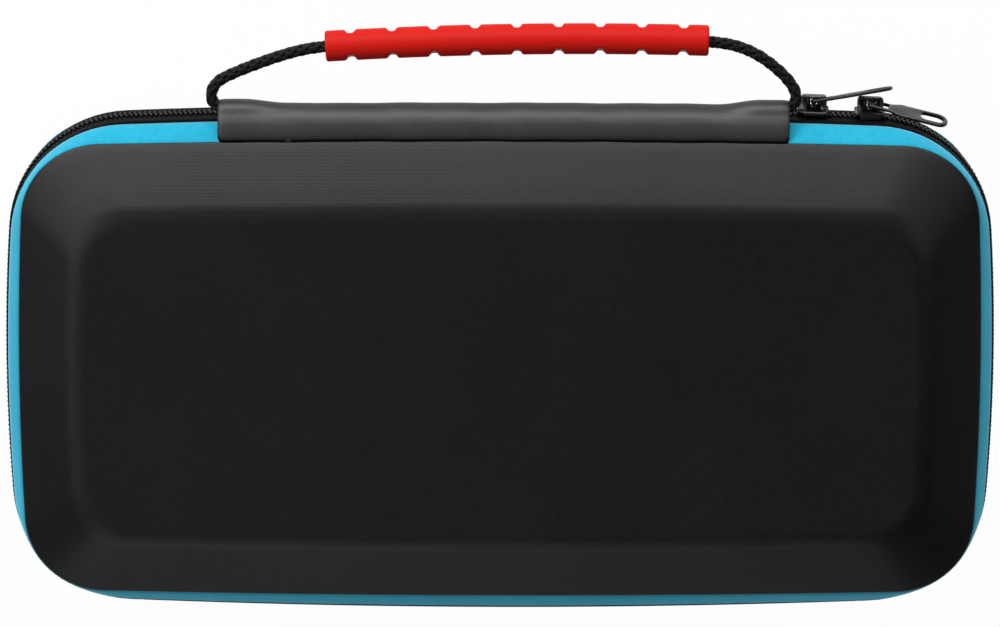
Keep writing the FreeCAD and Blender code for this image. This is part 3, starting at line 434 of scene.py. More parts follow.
def outline_loop(bm, line, inset, rise):
    """A closed loop of edges along an outline of the case, inset from it, at a rise over the zip's middle."""
    first = last = bm.verts.new((line["half_x"] - inset, 0.0, HALF_DEPTH + rise))
    for centre, turn, steps in outline_arcs(line):
        spun = bmesh.ops.spin(bm, geom=[last], cent=(centre.x, centre.y, HALF_DEPTH + rise), axis=(0, 0, 1),
                              dvec=(0, 0, 0), angle=turn, steps=steps, use_duplicate=False)
        last = next(item for item in spun["geom_last"] if isinstance(item, bmesh.types.BMVert))
    bmesh.ops.weld_verts(bm, targetmap={last: first})
    edges = [first.link_edges[0]]
    vertex = edges[0].other_vert(first)
    while vertex is not first:
        edges.append(next(edge for edge in vertex.link_edges if edge is not edges[-1]))
        vertex = edges[-1].other_vert(vertex)
    return edges


def sweep(bm, line, profile, closed=True, material=0):
    """Sweep a profile of insets and rises along an outline. Each may name an outline of its own."""
    loops = [outline_loop(bm, point[2] if len(point) > 2 else line, point[0], point[1]) for point in profile]
    pairs = list(zip(loops, loops[1:]))
    if closed:
        pairs.append((loops[-1], loops[0]))
    for near, far in pairs:
        for face in bmesh.ops.bridge_loops(bm, edges=near + far)["faces"]:
            face.material_index = material
    return loops


def cover_thread(material, shader, light, dark, pitch, depth, directions="XY"):
    """A plain weave: threads in two directions as bumps, with fibres and clouds of a second shade."""
    coordinates = add_node(material, "ShaderNodeTexCoord")
    # A wave texture at scale 1 has 20 bands in every 2 pi of length
    scale = 2 * math.pi / (20 * pitch * MM)
    height = None
    for direction in directions:
        threads = add_node(material, "ShaderNodeTexWave", {
            "Vector": coordinates.outputs["Object"], "Scale": scale, "Distortion": 0.6, "Detail": 1.0},
                           bands_direction=direction)
        if height is None:
            height = threads.outputs["Fac"]
        else:
            height = add_node(material, "ShaderNodeMath", {0: height, 1: threads.outputs["Fac"]},
                              operation="ADD").outputs[0]
    # Stray fibres are too fine to show, so they are drawn as specks 1.4 mm wide
    fibres = add_node(material, "ShaderNodeTexNoise", {"Vector": coordinates.outputs["Object"],
                                                       "Scale": 1 / (STRAY_FIBRE * MM), "Detail": 3.0})
    height = add_node(material, "ShaderNodeMath", {0: height, 1: fibres.outputs[0]}, operation="ADD")
    raise_bumps(material, shader, height.outputs[0], depth)
    clouds = add_node(material, "ShaderNodeTexNoise", {"Vector": coordinates.outputs["Object"],
                                                       "Scale": 1 / (CLOUD_SIZE * MM), "Detail": 4.0})
    shade = add_node(material, "ShaderNodeMath", {0: fibres.outputs[0], 1: clouds.outputs[0]},
                     operation="ADD")
    mixed = add_node(material, "ShaderNodeMapRange", {"Value": shade.outputs[0], "From Min": 0.7,
                                                      "From Max": 1.3})
    tint = add_node(material, "ShaderNodeMix", {"Factor": mixed.outputs[0], "A": linear(dark),
                                                "B": linear(light)}, data_type="RGBA")
    material.node_tree.links.new(tint.outputs["Result"], shader.inputs["Base Color"])


# Woven polyester over foam: nearly black, with a dull sheen where it leans towards the lamp. Its real
# threads, 0.3 mm apart, are too fine to show, so they are drawn 0.8 mm apart
shell_black, shell_shader = new_material("black_polyester_cover", "#101011", 0.4, Specular_IOR_Level=0.35)
cover_thread(shell_black, shell_shader, "#101011", "#060607", pitch=0.8, depth=0.004)
# Brushed tricot on the inside: a soft dark grey nap without threads to see, its tufts drawn 1.1 mm wide
tricot_grey, tricot_shader = new_material("brushed_tricot_lining", "#3b3b3e", 0.95, Sheen_Weight=0.4,
                                          Specular_IOR_Level=0.2)
coordinates = add_node(tricot_grey, "ShaderNodeTexCoord")
nap = add_node(tricot_grey, "ShaderNodeTexNoise", {"Vector": coordinates.outputs["Object"],
                                                   "Scale": 1 / (NAP_SIZE * MM), "Detail": 5.0})
raise_bumps(tricot_grey, tricot_shader, nap.outputs[0], depth=0.2, strength=0.7)

lean = math.atan2(HALF_DEPTH - SEAM_RISE, BEVEL)
bend_reach = BEND_RADIUS * math.tan(lean / 2)
rim_turn = math.pi / 2 - lean
rim_rise = SEAM_RISE - RIM_ROUND * (math.sin(rim_turn) - (1 - math.cos(rim_turn)) * math.tan(lean))
shell_skin = [(SEAM_LAP, SEAM_RISE + SEAM_TURN), (0.5, SEAM_RISE - SEAM_TURN)]
for share_of_turn in (0.15, 0.4, 0.65, 0.85, 1.0):
    angle = rim_turn * share_of_turn
    shell_skin.append((0.04 + RIM_ROUND * (1 - math.cos(angle)), rim_rise + RIM_ROUND * math.sin(angle)))
for inset in (2.2, 5.0, 8.0, BEVEL - bend_reach * math.cos(lean)):
    shell_skin.append((inset, SEAM_RISE + inset * math.tan(lean)))
for share_of_turn in (0.15, 0.3, 0.45, 0.6, 0.75, 0.9, 1.0):
    angle = lean * (1 - share_of_turn)
    shell_skin.append((BEVEL + bend_reach - BEND_RADIUS * math.sin(angle),
                       HALF_DEPTH - BEND_RADIUS * (1 - math.cos(angle))))
shell_skin.append((FLAT_EDGE + 0.5, HALF_DEPTH))


def fuller_corner(inset):
    """The seam's outline, its corner wider and its long sides nearer as it climbs, for a wide soft corner."""
    climbed = min(1.0, inset / BEVEL)
    return {**SEAM_LINE, "corner": SEAM_LINE["corner"] + CORNER_GAIN * climbed,
            "half_y": SEAM_LINE["half_y"] - FACE_EASE * climbed}


lining_skin = [(SEAM_LAP, SEAM_RISE + SEAM_TURN), (SHELL_WALL + 0.4, SEAM_RISE + 0.6), (BEVEL - 1.5, 18.6),
               (BEVEL, 19.35), (BEVEL + 2.0, HALF_DEPTH - SHELL_WALL), (FLAT_EDGE, HALF_DEPTH - SHELL_WALL)]
for side, body, out in HALVES:
    bm = bmesh.new()
    for skin, material in ((shell_skin, 0), (lining_skin, 1)):
        profile = [(inset, out * rise, fuller_corner(inset)) for inset, rise in skin]
        loops = sweep(bm, SEAM_LINE, profile, False, material)
        for face in bmesh.ops.edgeloop_fill(bm, edges=loops[-1], mat_nr=material)["faces"]:
            face.material_index = material
    bmesh.ops.remove_doubles(bm, verts=bm.verts, dist=0.001)
    shell = new_piece(f"{side}_shell_cover", bm, shell_black, tricot_grey)
    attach(shell, body)
    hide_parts(f"{side}_shell")


# The blue band is a strip of dyed polyester on thin foam, one for each half. It is sewn to the zip tape along
# one edge and to the shell along the other, and swells a little between the two seams.
BAND_NEAR = 6.9
BAND_FAR = 12.35
BAND_WALL = 1.6
BAND_SWELL = 0.2
TAPE_SHARE = 0.12
TAPE_LINE = {name: ZIP_LINE[name] + (SEAM_LINE[name] - ZIP_LINE[name]) * TAPE_SHARE for name in ZIP_LINE}
BAND_ROWS = 5
REAR_TUCK = 0.6
SWELL_SHAPE = 0.6
BAND_SEAM_SHARE = 0.02

# Dyed polyester, woven as the cover is: an even bright blue with a soft sheen
band_blue, band_shader = new_material("blue_polyester_band", "#1eb6e4", 0.7, Specular_IOR_Level=0.15,
                                      Sheen_Weight=0.9, Sheen_Roughness=0.5, Sheen_Tint=linear("#7fd2ec"))
cover_thread(band_blue, band_shader, "#19a3c2", "#1394b4", pitch=0.8, depth=0.008, directions="XZ")
for side, body, out in HALVES:
    bm = bmesh.new()
    near, far = out * BAND_NEAR, out * BAND_FAR
    tuck = REAR_TUCK if side == "rear" else 0.0
    loops = [outline_loop(bm, line, inset, rise) for line, inset, rise in (
        (TAPE_LINE, tuck, near), (SEAM_LINE, 0.0, far),
        (SEAM_LINE, BAND_WALL, far), (TAPE_LINE, BAND_WALL, near))]
    outer = bmesh.ops.bridge_loops(bm, edges=loops[0] + loops[1])["faces"]
    for first, second in ((1, 2), (2, 3), (3, 0)):
        bmesh.ops.bridge_loops(bm, edges=loops[first] + loops[second])
    ring_edges = set(loops[0] + loops[1])
    across = list({edge for face in outer for edge in face.edges if edge not in ring_edges})
    bmesh.ops.subdivide_edges(bm, edges=across, cuts=BAND_ROWS, use_grid_fill=True)
    bmesh.ops.recalc_face_normals(bm, faces=bm.faces)
    bm.normal_update()
    swell = {}
    for vertex in bm.verts:
        share_up = (abs(vertex.co.z - HALF_DEPTH) - BAND_NEAR) / (BAND_FAR - BAND_NEAR)
        if BAND_SEAM_SHARE < share_up < 1 - BAND_SEAM_SHARE:
            swell[vertex] = vertex.normal * BAND_SWELL * math.sin(math.pi * share_up) ** SWELL_SHAPE
    for vertex, push in swell.items():
        vertex.co += push
    band = new_piece(f"{side}_band_cloth", bm, band_blue)
    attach(band, body)
    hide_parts(f"{side}_gusset")


# The zip runs round three sides, between the two bands. Each woven tape carries a nylon coil whose loops
# stand side by side along its edge, and the tapes end where the cloth spine begins.
TAPE_NEAR = 2.45
TAPE_BEND = 6.0
TAPE_FAR = 6.8
TAPE_WALL = 0.8
SPINE_HALF = 95.0
TAPE_GAP = 0.15
TOOTH_GAP = 1.0
COIL_PITCH = 0.65
COIL_RADIUS = 0.34
COIL_TIP = 0.289
COIL_SIDES = 6
COIL_NEAR = 0.35
COIL_FAR = 2.3
COIL_SLANT = math.radians(14)
COIL_OVERLAP = 0.6
COIL_STANDS_OUT = 0.2
CORE_OUTER = 0.1
CORE_INNER = 0.8
CORE_NEAR = 0.7
COIL_SCUFF = 1.25


def cut_hinge_run(bm, half_width, keep):
    """Cut the hinge edge's middle run out of a ring, or keep only that run."""
    for out in (1, -1):
        everything = bm.verts[:] + bm.edges[:] + bm.faces[:]
        bmesh.ops.bisect_plane(bm, geom=everything, plane_co=(out * half_width, 0, 0), plane_no=(1, 0, 0),
                               dist=0.0001)
    for face in bm.faces[:]:
        middle = face.calc_center_median()
        inside = abs(middle.x) < half_width and middle.y < 0
        if inside != keep:
            bm.faces.remove(face)
    bmesh.ops.delete(bm, geom=[vertex for vertex in bm.verts if not vertex.link_faces], context="VERTS")
    bmesh.ops.holes_fill(bm, edges=[edge for edge in bm.edges if edge.is_boundary], sides=20)


# Polyester tape: black twill, drawn 0.6 mm apart where the real threads are finer
tape_black, tape_shader = new_material("zip_tape_twill", "#080809", 0.7, Specular_IOR_Level=0.06)
cover_thread(tape_black, tape_shader, "#09090a", "#040404", pitch=0.6, depth=0.04, directions="XZ")
# Nylon coil: smooth black loops that each catch a small glint
coil_black, coil_shader = new_material("black_nylon_coil", "#070708", 0.45, Specular_IOR_Level=0.12)
coordinates = add_node(coil_black, "ShaderNodeTexCoord")
scuffs = add_node(coil_black, "ShaderNodeTexNoise", {"Vector": coordinates.outputs["Object"],
                                                     "Scale": 1 / (COIL_SCUFF * MM)})
rubbed = add_node(coil_black, "ShaderNodeMapRange", {"Value": scuffs.outputs[0], "To Min": 0.35,
                                                     "To Max": 0.55})
coil_black.node_tree.links.new(rubbed.outputs[0], coil_shader.inputs["Roughness"])

bm = bmesh.new()
outline_loop(bm, ZIP_LINE, 0.0, 0.0)
bm.verts.ensure_lookup_table()
zip_walk = [vertex.co.xy.copy() for vertex in bm.verts]
bm.free()
zip_walk.append(zip_walk[0])
tooth_places = []
spare = 0.0
for start, end in zip(zip_walk, zip_walk[1:]):
    run = (end - start).length
    while spare < run:
        place = start.lerp(end, spare / run)
        if place.y > 0 or abs(place.x) > SPINE_HALF + TOOTH_GAP:
            tooth_places.append((place, (end - start).normalized()))
        spare += COIL_PITCH
    spare -= run

for side, body, out in HALVES:
    bm = bmesh.new()
    sweep(bm, ZIP_LINE, [(0.0, out * TAPE_NEAR), (0.0, out * TAPE_BEND), (0.0, out * TAPE_FAR, TAPE_LINE),
                         (TAPE_WALL, out * TAPE_FAR, TAPE_LINE), (TAPE_WALL, out * TAPE_NEAR)])
    cut_hinge_run(bm, SPINE_HALF + TAPE_GAP, False)
    tape = new_piece(f"{side}_zip_tape_cloth", bm, tape_black)
    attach(tape, body)
    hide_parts(f"{side}_zip_tape")

    bm = bmesh.new()
    sweep(bm, ZIP_LINE, [(CORE_OUTER, out * CORE_NEAR), (CORE_OUTER, out * COIL_FAR),
                         (CORE_INNER, out * COIL_FAR), (CORE_INNER, out * CORE_NEAR)])
    cut_hinge_run(bm, SPINE_HALF + TAPE_GAP, False)
    for number, (place, ahead) in enumerate(tooth_places):
        if number % 2 != (out > 0):
            continue
        away = Vector((ahead.y, -ahead.x, 0.0))
        loop = bmesh.ops.create_cone(bm, cap_ends=True, segments=COIL_SIDES, radius1=COIL_RADIUS,
                                     radius2=COIL_TIP, depth=COIL_FAR - COIL_NEAR + COIL_OVERLAP)["verts"]
        bmesh.ops.rotate(bm, cent=(0, 0, 0), verts=loop, matrix=Matrix.Rotation(COIL_SLANT * out, 3, away))
        spot = Vector((place.x, place.y, HALF_DEPTH + out * (COIL_FAR + COIL_NEAR - COIL_OVERLAP) / 2))
        bmesh.ops.translate(bm, vec=spot + away * COIL_STANDS_OUT, verts=loop)
    coil = new_piece(f"{side}_zip_coil_loops", bm, coil_black)
    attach(coil, body)
    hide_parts(f"{side}_zip_coil")


# The spine is one strip of folded cloth that joins the two halves along the hinge edge. It is drawn as one
# fixed strip that doesn't bend as the lid opens, and without the two rows of stitches that hold it to the
# blue bands.
SPINE_FAR = 6.0
SPINE_WALL = 1.2
SPINE_SEGMENTS = 12
STITCH_LENGTH = 2.2
STITCH_PITCH = 3.0
STITCH_WIDTH = 0.5
STITCH_HEIGHT = 0.3
THREAD_TWIST = 0.333


def stitch_row(bm, start, end, up, pitch=STITCH_PITCH):
    """A row of lock stitches from start to end, lying on a surface whose outside is up."""
    run = end - start
    ahead = run.normalized()
    place = Matrix((ahead, up.cross(ahead).normalized(), up.normalized())).transposed().to_4x4()
    size = Matrix.Diagonal((STITCH_LENGTH * pitch / STITCH_PITCH, STITCH_WIDTH, STITCH_HEIGHT, 1.0))
    count = max(1, int(run.length / pitch))
    for number in range(count):
        place.translation = start + run * (number + 0.5) / count
        bmesh.ops.create_icosphere(bm, subdivisions=1, radius=0.5, matrix=place @ size)


# Sewing thread: twisted black polyester with a little shine
thread_black, thread_shader = new_material("sewing_thread", "#1b1b1c", 0.45, Specular_IOR_Level=0.5)
coordinates = add_node(thread_black, "ShaderNodeTexCoord")
twist = add_node(thread_black, "ShaderNodeTexNoise", {"Vector": coordinates.outputs["Object"],
                                                      "Scale": 1 / (THREAD_TWIST * MM)})
raise_bumps(thread_black, thread_shader, twist.outputs[0], depth=0.05, strength=0.5)

bm = bmesh.new()
rows = SPINE_SEGMENTS
profile = [(0.0, -SPINE_FAR + 2 * SPINE_FAR * row / rows) for row in range(rows + 1)]
profile += [(SPINE_WALL, SPINE_FAR - 2 * SPINE_FAR * row / rows) for row in range(rows + 1)]
sweep(bm, ZIP_LINE, profile)
cut_hinge_run(bm, SPINE_HALF, True)
spine = new_piece("spine_cloth", bm, tape_black)
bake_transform(spine)
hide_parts("spine_rear", "spine_front")


# Inside each shell the raw edges of shell and band stand together. A ribbon of black polyester is folded over
# both of them and sewn through.
BINDING = [(3.2, 12.1), (3.2, 8.7), (3.5, 8.38), (4.3, 8.38),
           (4.6, 8.7), (4.6, 12.1), (4.3, 12.34), (3.5, 12.34)]

# Binding ribbon: black polyester tape with a fine rib, drawn 0.7 mm apart
ribbon_black, ribbon_shader = new_material("binding_ribbon", "#141415", 0.6, Specular_IOR_Level=0.35)
cover_thread(ribbon_black, ribbon_shader, "#19191a", "#0c0c0c", pitch=0.7, depth=0.04, directions="XZ")
for side, body, out in HALVES:
    bm = bmesh.new()
    sweep(bm, SEAM_LINE, BINDING)
    bmesh.ops.scale(bm, vec=(1, 1, out), verts=bm.verts, space=Matrix.Translation((0, 0, -HALF_DEPTH)))
    binding = new_piece(f"{side}_binding_ribbon", bm, ribbon_black)
    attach(binding, body)
    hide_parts(f"{side}_binding")


# The handle's sleeve is a roll of the cover cloth, sewn to the front shell along the seam and lying on the
# blue band. The strip in the seam takes the dark tape cloth as painted shade, for the shadow in the groove
# under the roll. The rope enters at each end and raises a hump there.
SLEEVE_LEFT = -74.1
SLEEVE_RIGHT = 75.8
SWING_Y = 69.6
SLEEVE_SKIN = [(62.0, 34.5), (61.7, 34.85), (61.95, 35.25), (63.0, 35.25), (63.3, 35.6), (64.5, 35.55),
               (66.7, 35.0), (68.3, 34.3), (69.6, 33.3), (70.6, 32.1), (71.2, 30.8), (71.35, 29.6),
               (70.9, 28.5), (69.8, 27.95), (68.6, 27.9), (67.95, 28.2), (67.3, 29.3), (66.0, 30.9),
               (64.6, 32.6), (63.4, 33.8)]
HUMP_RADIUS = 3.2
HUMP_FLAT = 7.0
HUMP_END = 19.0
SLEEVE_STEP = 1.5
SEAM_SHADE_TOP = 35.3
SEAM_SHADE_EDGE = 63.0
ROPE_HOLE = 1.75
ROPE_HOLE_DEPTH = 5.0
ROPE_HOLE_SUNK = 0.3
HUMP_LOW = -2.5
HUMP_FRONT = -2.6
END_TUCK = 0.35
END_ROUND = 1.5
RIPPLE = 0.10
RIPPLE_ALONG = 0.31
RIPPLE_ROUND = 0.7
RIPPLE_FADE = 0.113
RIPPLE_START = 1.7


def hump_share(along):
    """How far the rope's hump stands up at a distance from the sleeve's end."""
    if along < HUMP_FLAT:
        return 1.0
    if along > HUMP_END:
        return 0.0
    return 0.5 + 0.5 * math.cos(math.pi * (along - HUMP_FLAT) / (HUMP_END - HUMP_FLAT))


bm = bmesh.new()
count = round((SLEEVE_RIGHT - SLEEVE_LEFT) / SLEEVE_STEP)
rings = []
for number in range(count + 1):
    x = SLEEVE_LEFT + (SLEEVE_RIGHT - SLEEVE_LEFT) * number / count
    from_end = min(x - SLEEVE_LEFT, SLEEVE_RIGHT - x)
    bow = SEAM_LINE["long_bow"] * (x / SEAM_LINE["half_x"]) ** 2
    hump = hump_share(from_end)
    tuck = END_TUCK * max(0.0, 1 - from_end / END_ROUND) ** 2
    ring = []
    for y, z in SLEEVE_SKIN:
        spoke = Vector((y - SWING_Y, z - SWING_HEIGHT))
        if spoke.y > HUMP_LOW and spoke.x > HUMP_FRONT:
            spoke = spoke.lerp(spoke.normalized() * max(spoke.length, HUMP_RADIUS), hump)
        ripple = RIPPLE * math.sin(x * RIPPLE_ALONG + y * RIPPLE_ROUND)
        ripple *= math.sin(x * RIPPLE_FADE + RIPPLE_START)
        spoke *= 1 + (ripple - tuck) / max(spoke.length, 1.0)
        ring.append(bm.verts.new((x, spoke.x + SWING_Y - bow, spoke.y + SWING_HEIGHT)))
    rings.append([bm.edges.new((a, b)) for a, b in zip(ring, ring[1:] + ring[:1])])
for near, far in zip(rings, rings[1:]):
    bmesh.ops.bridge_loops(bm, edges=near + far)
for ring, x, inward in ((rings[0], SLEEVE_LEFT, 1), (rings[-1], SLEEVE_RIGHT, -1)):
    hole = bmesh.ops.create_circle(bm, segments=len(SLEEVE_SKIN), radius=ROPE_HOLE)["verts"]
    bmesh.ops.rotate(bm, cent=(0, 0, 0), matrix=Matrix.Rotation(math.pi / 2, 3, "Y"), verts=hole)
    bmesh.ops.translate(bm, vec=(x + inward * ROPE_HOLE_SUNK, SWING_Y, SWING_HEIGHT), verts=hole)
    rim = list({edge for vertex in hole for edge in vertex.link_edges})
    bmesh.ops.bridge_loops(bm, edges=ring + rim)
    bore = bmesh.ops.extrude_edge_only(bm, edges=rim)["geom"]
    deep = [item for item in bore if isinstance(item, bmesh.types.BMVert)]
    bmesh.ops.translate(bm, vec=(inward * ROPE_HOLE_DEPTH, 0, 0), verts=deep)
# Faces low in the seam groove take the dark tape cloth: painted shade for the groove's shadow line
for face in bm.faces:
    middle = face.calc_center_median()
    if middle.z < SEAM_SHADE_TOP and middle.y < SEAM_SHADE_EDGE:
        face.material_index = 1

# The sleeve's cloth is the shell's, drawn in a lighter black and with more sheen than the shell's cover
sleeve_black, sleeve_shader = new_material("black_sleeve_cloth", "#1c1c1d", 0.5, Specular_IOR_Level=0.65)
cover_thread(sleeve_black, sleeve_shader, "#212122", "#141415", pitch=0.8, depth=0.008, directions="XZ")
sleeve = new_piece("handle_sleeve_roll", bm, sleeve_black, tape_black)
smooth = sleeve.modifiers.new("softened", "SUBSURF")
smooth.levels = smooth.render_levels = 1
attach(sleeve, "lid")
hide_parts("handle_sleeve")


# The sliders and their pulls are cast zinc with a black lacquer. Each slider has an arch that the pull's bar
# sits under, and each pull a long oval hole near its tip.
SLIDER_ROUND = 0.16
PULL_ROUND = 0.12
SLIDER_PIVOTS = {"left": (82.126, 69.898, -1.96), "right": (96.949, 69.346, -2.31)}
LEG_INNER = 0.9
LEG_OUTER = 3.0
LEG_LOW = -2.0
LEG_TOP = 1.5
LEG_WIDTH = 1.5
CAM_DROP = 0.85
CAM_SUNK = 0.1
KNOB_RADIUS = 0.8
KNOB_WIDTH = 1.9
KNOB_SIDES = 24
PULL_ROLL = math.radians(12)
ZINC_SCUFF = 2.0


def softened(node, width):
    """A copy of a CAD node's mesh in millimetres, with its sharp edges rounded."""
    bm = bmesh.new()
    bm.from_mesh(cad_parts[node].data)
    bmesh.ops.scale(bm, vec=(1 / MM, 1 / MM, 1 / MM), verts=bm.verts)
    bmesh.ops.remove_doubles(bm, verts=bm.verts, dist=0.002)
    bmesh.ops.dissolve_limit(bm, angle_limit=math.radians(2), verts=bm.verts, edges=bm.edges)
    sharp = [edge for edge in bm.edges if edge.is_manifold and edge.calc_face_angle() > math.radians(35)]
    bmesh.ops.bevel(bm, geom=sharp, offset=width, affect="EDGES", segments=2, profile=0.5, material=-1,
                    clamp_overlap=True)
    return bm


# Lacquered zinc: a hard black skin, glossy on the edges and a little scuffed
zinc_black, zinc_shader = new_material("black_lacquered_zinc", "#060607", 0.3, Specular_IOR_Level=0.45,
                                       Coat_Weight=0.15, Coat_Roughness=0.12)
coordinates = add_node(zinc_black, "ShaderNodeTexCoord")
scuffs = add_node(zinc_black, "ShaderNodeTexNoise", {"Vector": coordinates.outputs["Object"],
                                                     "Scale": 1 / (ZINC_SCUFF * MM), "Detail": 4.0})
worn = add_node(zinc_black, "ShaderNodeMapRange", {"Value": scuffs.outputs[0], "To Min": 0.22, "To Max": 0.5})
zinc_black.node_tree.links.new(worn.outputs[0], zinc_shader.inputs["Roughness"])
for side, roll in (("left", -PULL_ROLL), ("right", PULL_ROLL)):
    x, y, slope = SLIDER_PIVOTS[side]
    place = Matrix.Translation((x, y, HALF_DEPTH)) @ Matrix.Rotation(math.radians(slope), 4, "Z")
    bm = softened(f"slider_{side}", SLIDER_ROUND)
    for out in (1, -1):
        leg = bmesh.ops.create_cube(bm, size=1.0)["verts"]
        bmesh.ops.scale(bm, vec=(LEG_OUTER - LEG_INNER, LEG_TOP - LEG_LOW, LEG_WIDTH), verts=leg)
        bmesh.ops.translate(bm, vec=(out * (LEG_OUTER + LEG_INNER) / 2, (LEG_TOP + LEG_LOW) / 2, 0),
                            verts=leg)
        bmesh.ops.transform(bm, matrix=place, verts=leg)
    cam = bmesh.ops.create_cube(bm, size=1.0)["verts"]
    bmesh.ops.scale(bm, vec=(2 * (LEG_INNER + CAM_SUNK), -LEG_LOW - CAM_DROP, LEG_WIDTH), verts=cam)
    bmesh.ops.translate(bm, vec=(0, (LEG_LOW - CAM_DROP) / 2, 0), verts=cam)
    bmesh.ops.transform(bm, matrix=place, verts=cam)
    slider = new_piece(f"slider_{side}_cast", bm, zinc_black)
    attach(slider, f"slider_{side}")
    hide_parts(f"slider_{side}")
    bm = softened(f"pull_{side}", PULL_ROUND)
    knob = bmesh.ops.create_cone(bm, cap_ends=True, segments=KNOB_SIDES, radius1=KNOB_RADIUS,
                                 radius2=KNOB_RADIUS, depth=KNOB_WIDTH)["verts"]
    bmesh.ops.rotate(bm, cent=(0, 0, 0), matrix=Matrix.Rotation(roll, 3, "X"), verts=knob)
    bmesh.ops.transform(bm, matrix=place, verts=knob)
    pull = new_piece(f"pull_{side}_cast", bm, zinc_black)
    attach(pull, f"pull_{side}")
    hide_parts(f"pull_{side}")


# The tray in the rear shell is a block of soft foam under tricot. Two rails stand up from it, one on each
# side of the console, and hold the ends of the elastic straps.
TRAY_LOW = 3.3
TRAY_TOP = 9.0
RAIL_HALF = 95.0
RAIL_INNER = 52.4
RAIL_OUTER = 56.6
RAIL_TOP = 23.8
RAIL_ROUND = 1.6
RAIL_CORNER = 1.5
RAIL_SUNK = 0.5


def slab(bm, low, high, corner=0.0, edge=0.3):
    """A flat piece between two corners, with round corners seen from above and soft edges."""
    low, high = Vector(low), Vector(high)
    shape = bmesh.ops.create_grid(bm, x_segments=1, y_segments=1, size=0.5)["verts"]
    size, middle = high - low, (high + low) / 2
    bmesh.ops.scale(bm, vec=(size.x, size.y, 1.0), verts=shape)
    bmesh.ops.translate(bm, vec=(middle.x, middle.y, low.z), verts=shape)
    faces = list({face for vertex in shape for face in vertex.link_faces})
    if corner:
        cut = bmesh.ops.bevel(bm, geom=shape, offset=corner, affect="VERTICES", segments=8, profile=0.5,
                              material=-1)
        faces = list({face for face in faces if face.is_valid}
                     | {face for vertex in cut["verts"] for face in vertex.link_faces})
    raised = bmesh.ops.extrude_face_region(bm, geom=faces)["geom"]
    top = [item for item in raised if isinstance(item, bmesh.types.BMVert)]
    bmesh.ops.translate(bm, vec=(0, 0, size.z), verts=top)
    solid = {vertex for face in faces if face.is_valid for vertex in face.verts} | set(top)
    rims = [item for item in bm.edges if set(item.verts) <= solid and item.is_manifold
            and abs(item.calc_face_angle() - math.pi / 2) < 0.1
            and abs(item.verts[0].co.z - item.verts[1].co.z) < 1e-6]
    bmesh.ops.bevel(bm, geom=rims, offset=edge, affect="EDGES", segments=3, profile=0.5, material=-1)


bm = bmesh.new()
tray_skin = [(17.0, TRAY_LOW), (14.5, TRAY_LOW + 0.1), (9.5, TRAY_LOW + 2.95), (6.0, TRAY_TOP - 0.9),
             (5.9, TRAY_TOP - 0.4), (6.6, TRAY_TOP - 0.05), (8.5, TRAY_TOP)]
loops = sweep(bm, SEAM_LINE, [(inset, height - HALF_DEPTH) for inset, height in tray_skin], False)
for loop in (loops[0], loops[-1]):
    bmesh.ops.edgeloop_fill(bm, edges=loop)
for out in (1, -1):
    inner, outer = sorted((out * RAIL_INNER, out * RAIL_OUTER))
    slab(bm, (-RAIL_HALF, inner, TRAY_TOP - RAIL_SUNK), (RAIL_HALF, outer, RAIL_TOP), RAIL_CORNER, RAIL_ROUND)
tray = new_piece("console_tray_foam", bm, tricot_grey)
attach(tray, "base")
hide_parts("console_tray")


# Two elastic straps run from rail to rail over the console. They are woven with rubber threads, and two rows
# of stitches hold each end to its rail.
STRAP_PLACE = 62.0
STRAP_WIDTH = 22.0
STRAP_LOW = 23.95
STRAP_TOP = 24.95
STRAP_END = 55.0
STITCH_ROWS = (0.8, 2.6)
STITCH_MARGIN = 1.5
STRAP_STITCH_PITCH = 2.2

# Woven elastic: matt black with coarse ribs, drawn 1.2 mm apart
elastic_black, elastic_shader = new_material("woven_elastic", "#17171a", 0.7, Specular_IOR_Level=0.3)
cover_thread(elastic_black, elastic_shader, "#1e1e20", "#0d0d0e", pitch=1.2, depth=0.08)
for name, place in (("strap_left", -STRAP_PLACE), ("strap_right", STRAP_PLACE)):
    left, right = place - STRAP_WIDTH / 2, place + STRAP_WIDTH / 2
    bm = bmesh.new()
    slab(bm, (left, -STRAP_END, STRAP_LOW), (right, STRAP_END, STRAP_TOP))
    strap = new_piece(f"{name}_elastic", bm, elastic_black)
    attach(strap, "base")
    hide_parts(name)
    bm = bmesh.new()
    for end in (1, -1):
        for from_end in STITCH_ROWS:
            y = end * (STRAP_END - from_end)
            stitch_row(bm, Vector((left + STITCH_MARGIN, y, STRAP_TOP)),
                       Vector((right - STITCH_MARGIN, y, STRAP_TOP)), Vector((0, 0, 1)), STRAP_STITCH_PITCH)
    stitches = new_piece(f"{name}_stitches", bm, thread_black)
    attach(stitches, "base")


# The lid holds a pouch of thin black nylon net, sewn to the lining along three edges. Its mouth is held by a
# narrow hem of woven elastic.
POUCH_HALF = 104.0
POUCH_BOTTOM = -43.0
POUCH_TOP = 30.0
POUCH_FRONT = 35.2
POUCH_BACK = 41.6
POUCH_EASE = 9.0
NET_CELL = 2.6
NET_THREAD = 0.35
KNIT_SIZE = 0.4
HEM_WIDTH = 4.0
HEM_LOW = 34.65
HEM_TOP = 36.25
HEM_ROUND = 0.5
HEM_CUTS = 120
HEM_GATHER = 0.12
HEM_GATHER_RATE = 2.1

# Net: thin black nylon threads, too fine to show any weave of their own
net_black, net_shader = new_material("knitted_net", "#161617", 0.5, Specular_IOR_Level=0.4)
coordinates = add_node(net_black, "ShaderNodeTexCoord")
knit = add_node(net_black, "ShaderNodeTexNoise", {"Vector": coordinates.outputs["Object"],
                                                  "Scale": 1 / (KNIT_SIZE * MM)})
raise_bumps(net_black, net_shader, knit.outputs[0], depth=0.1, strength=0.5)

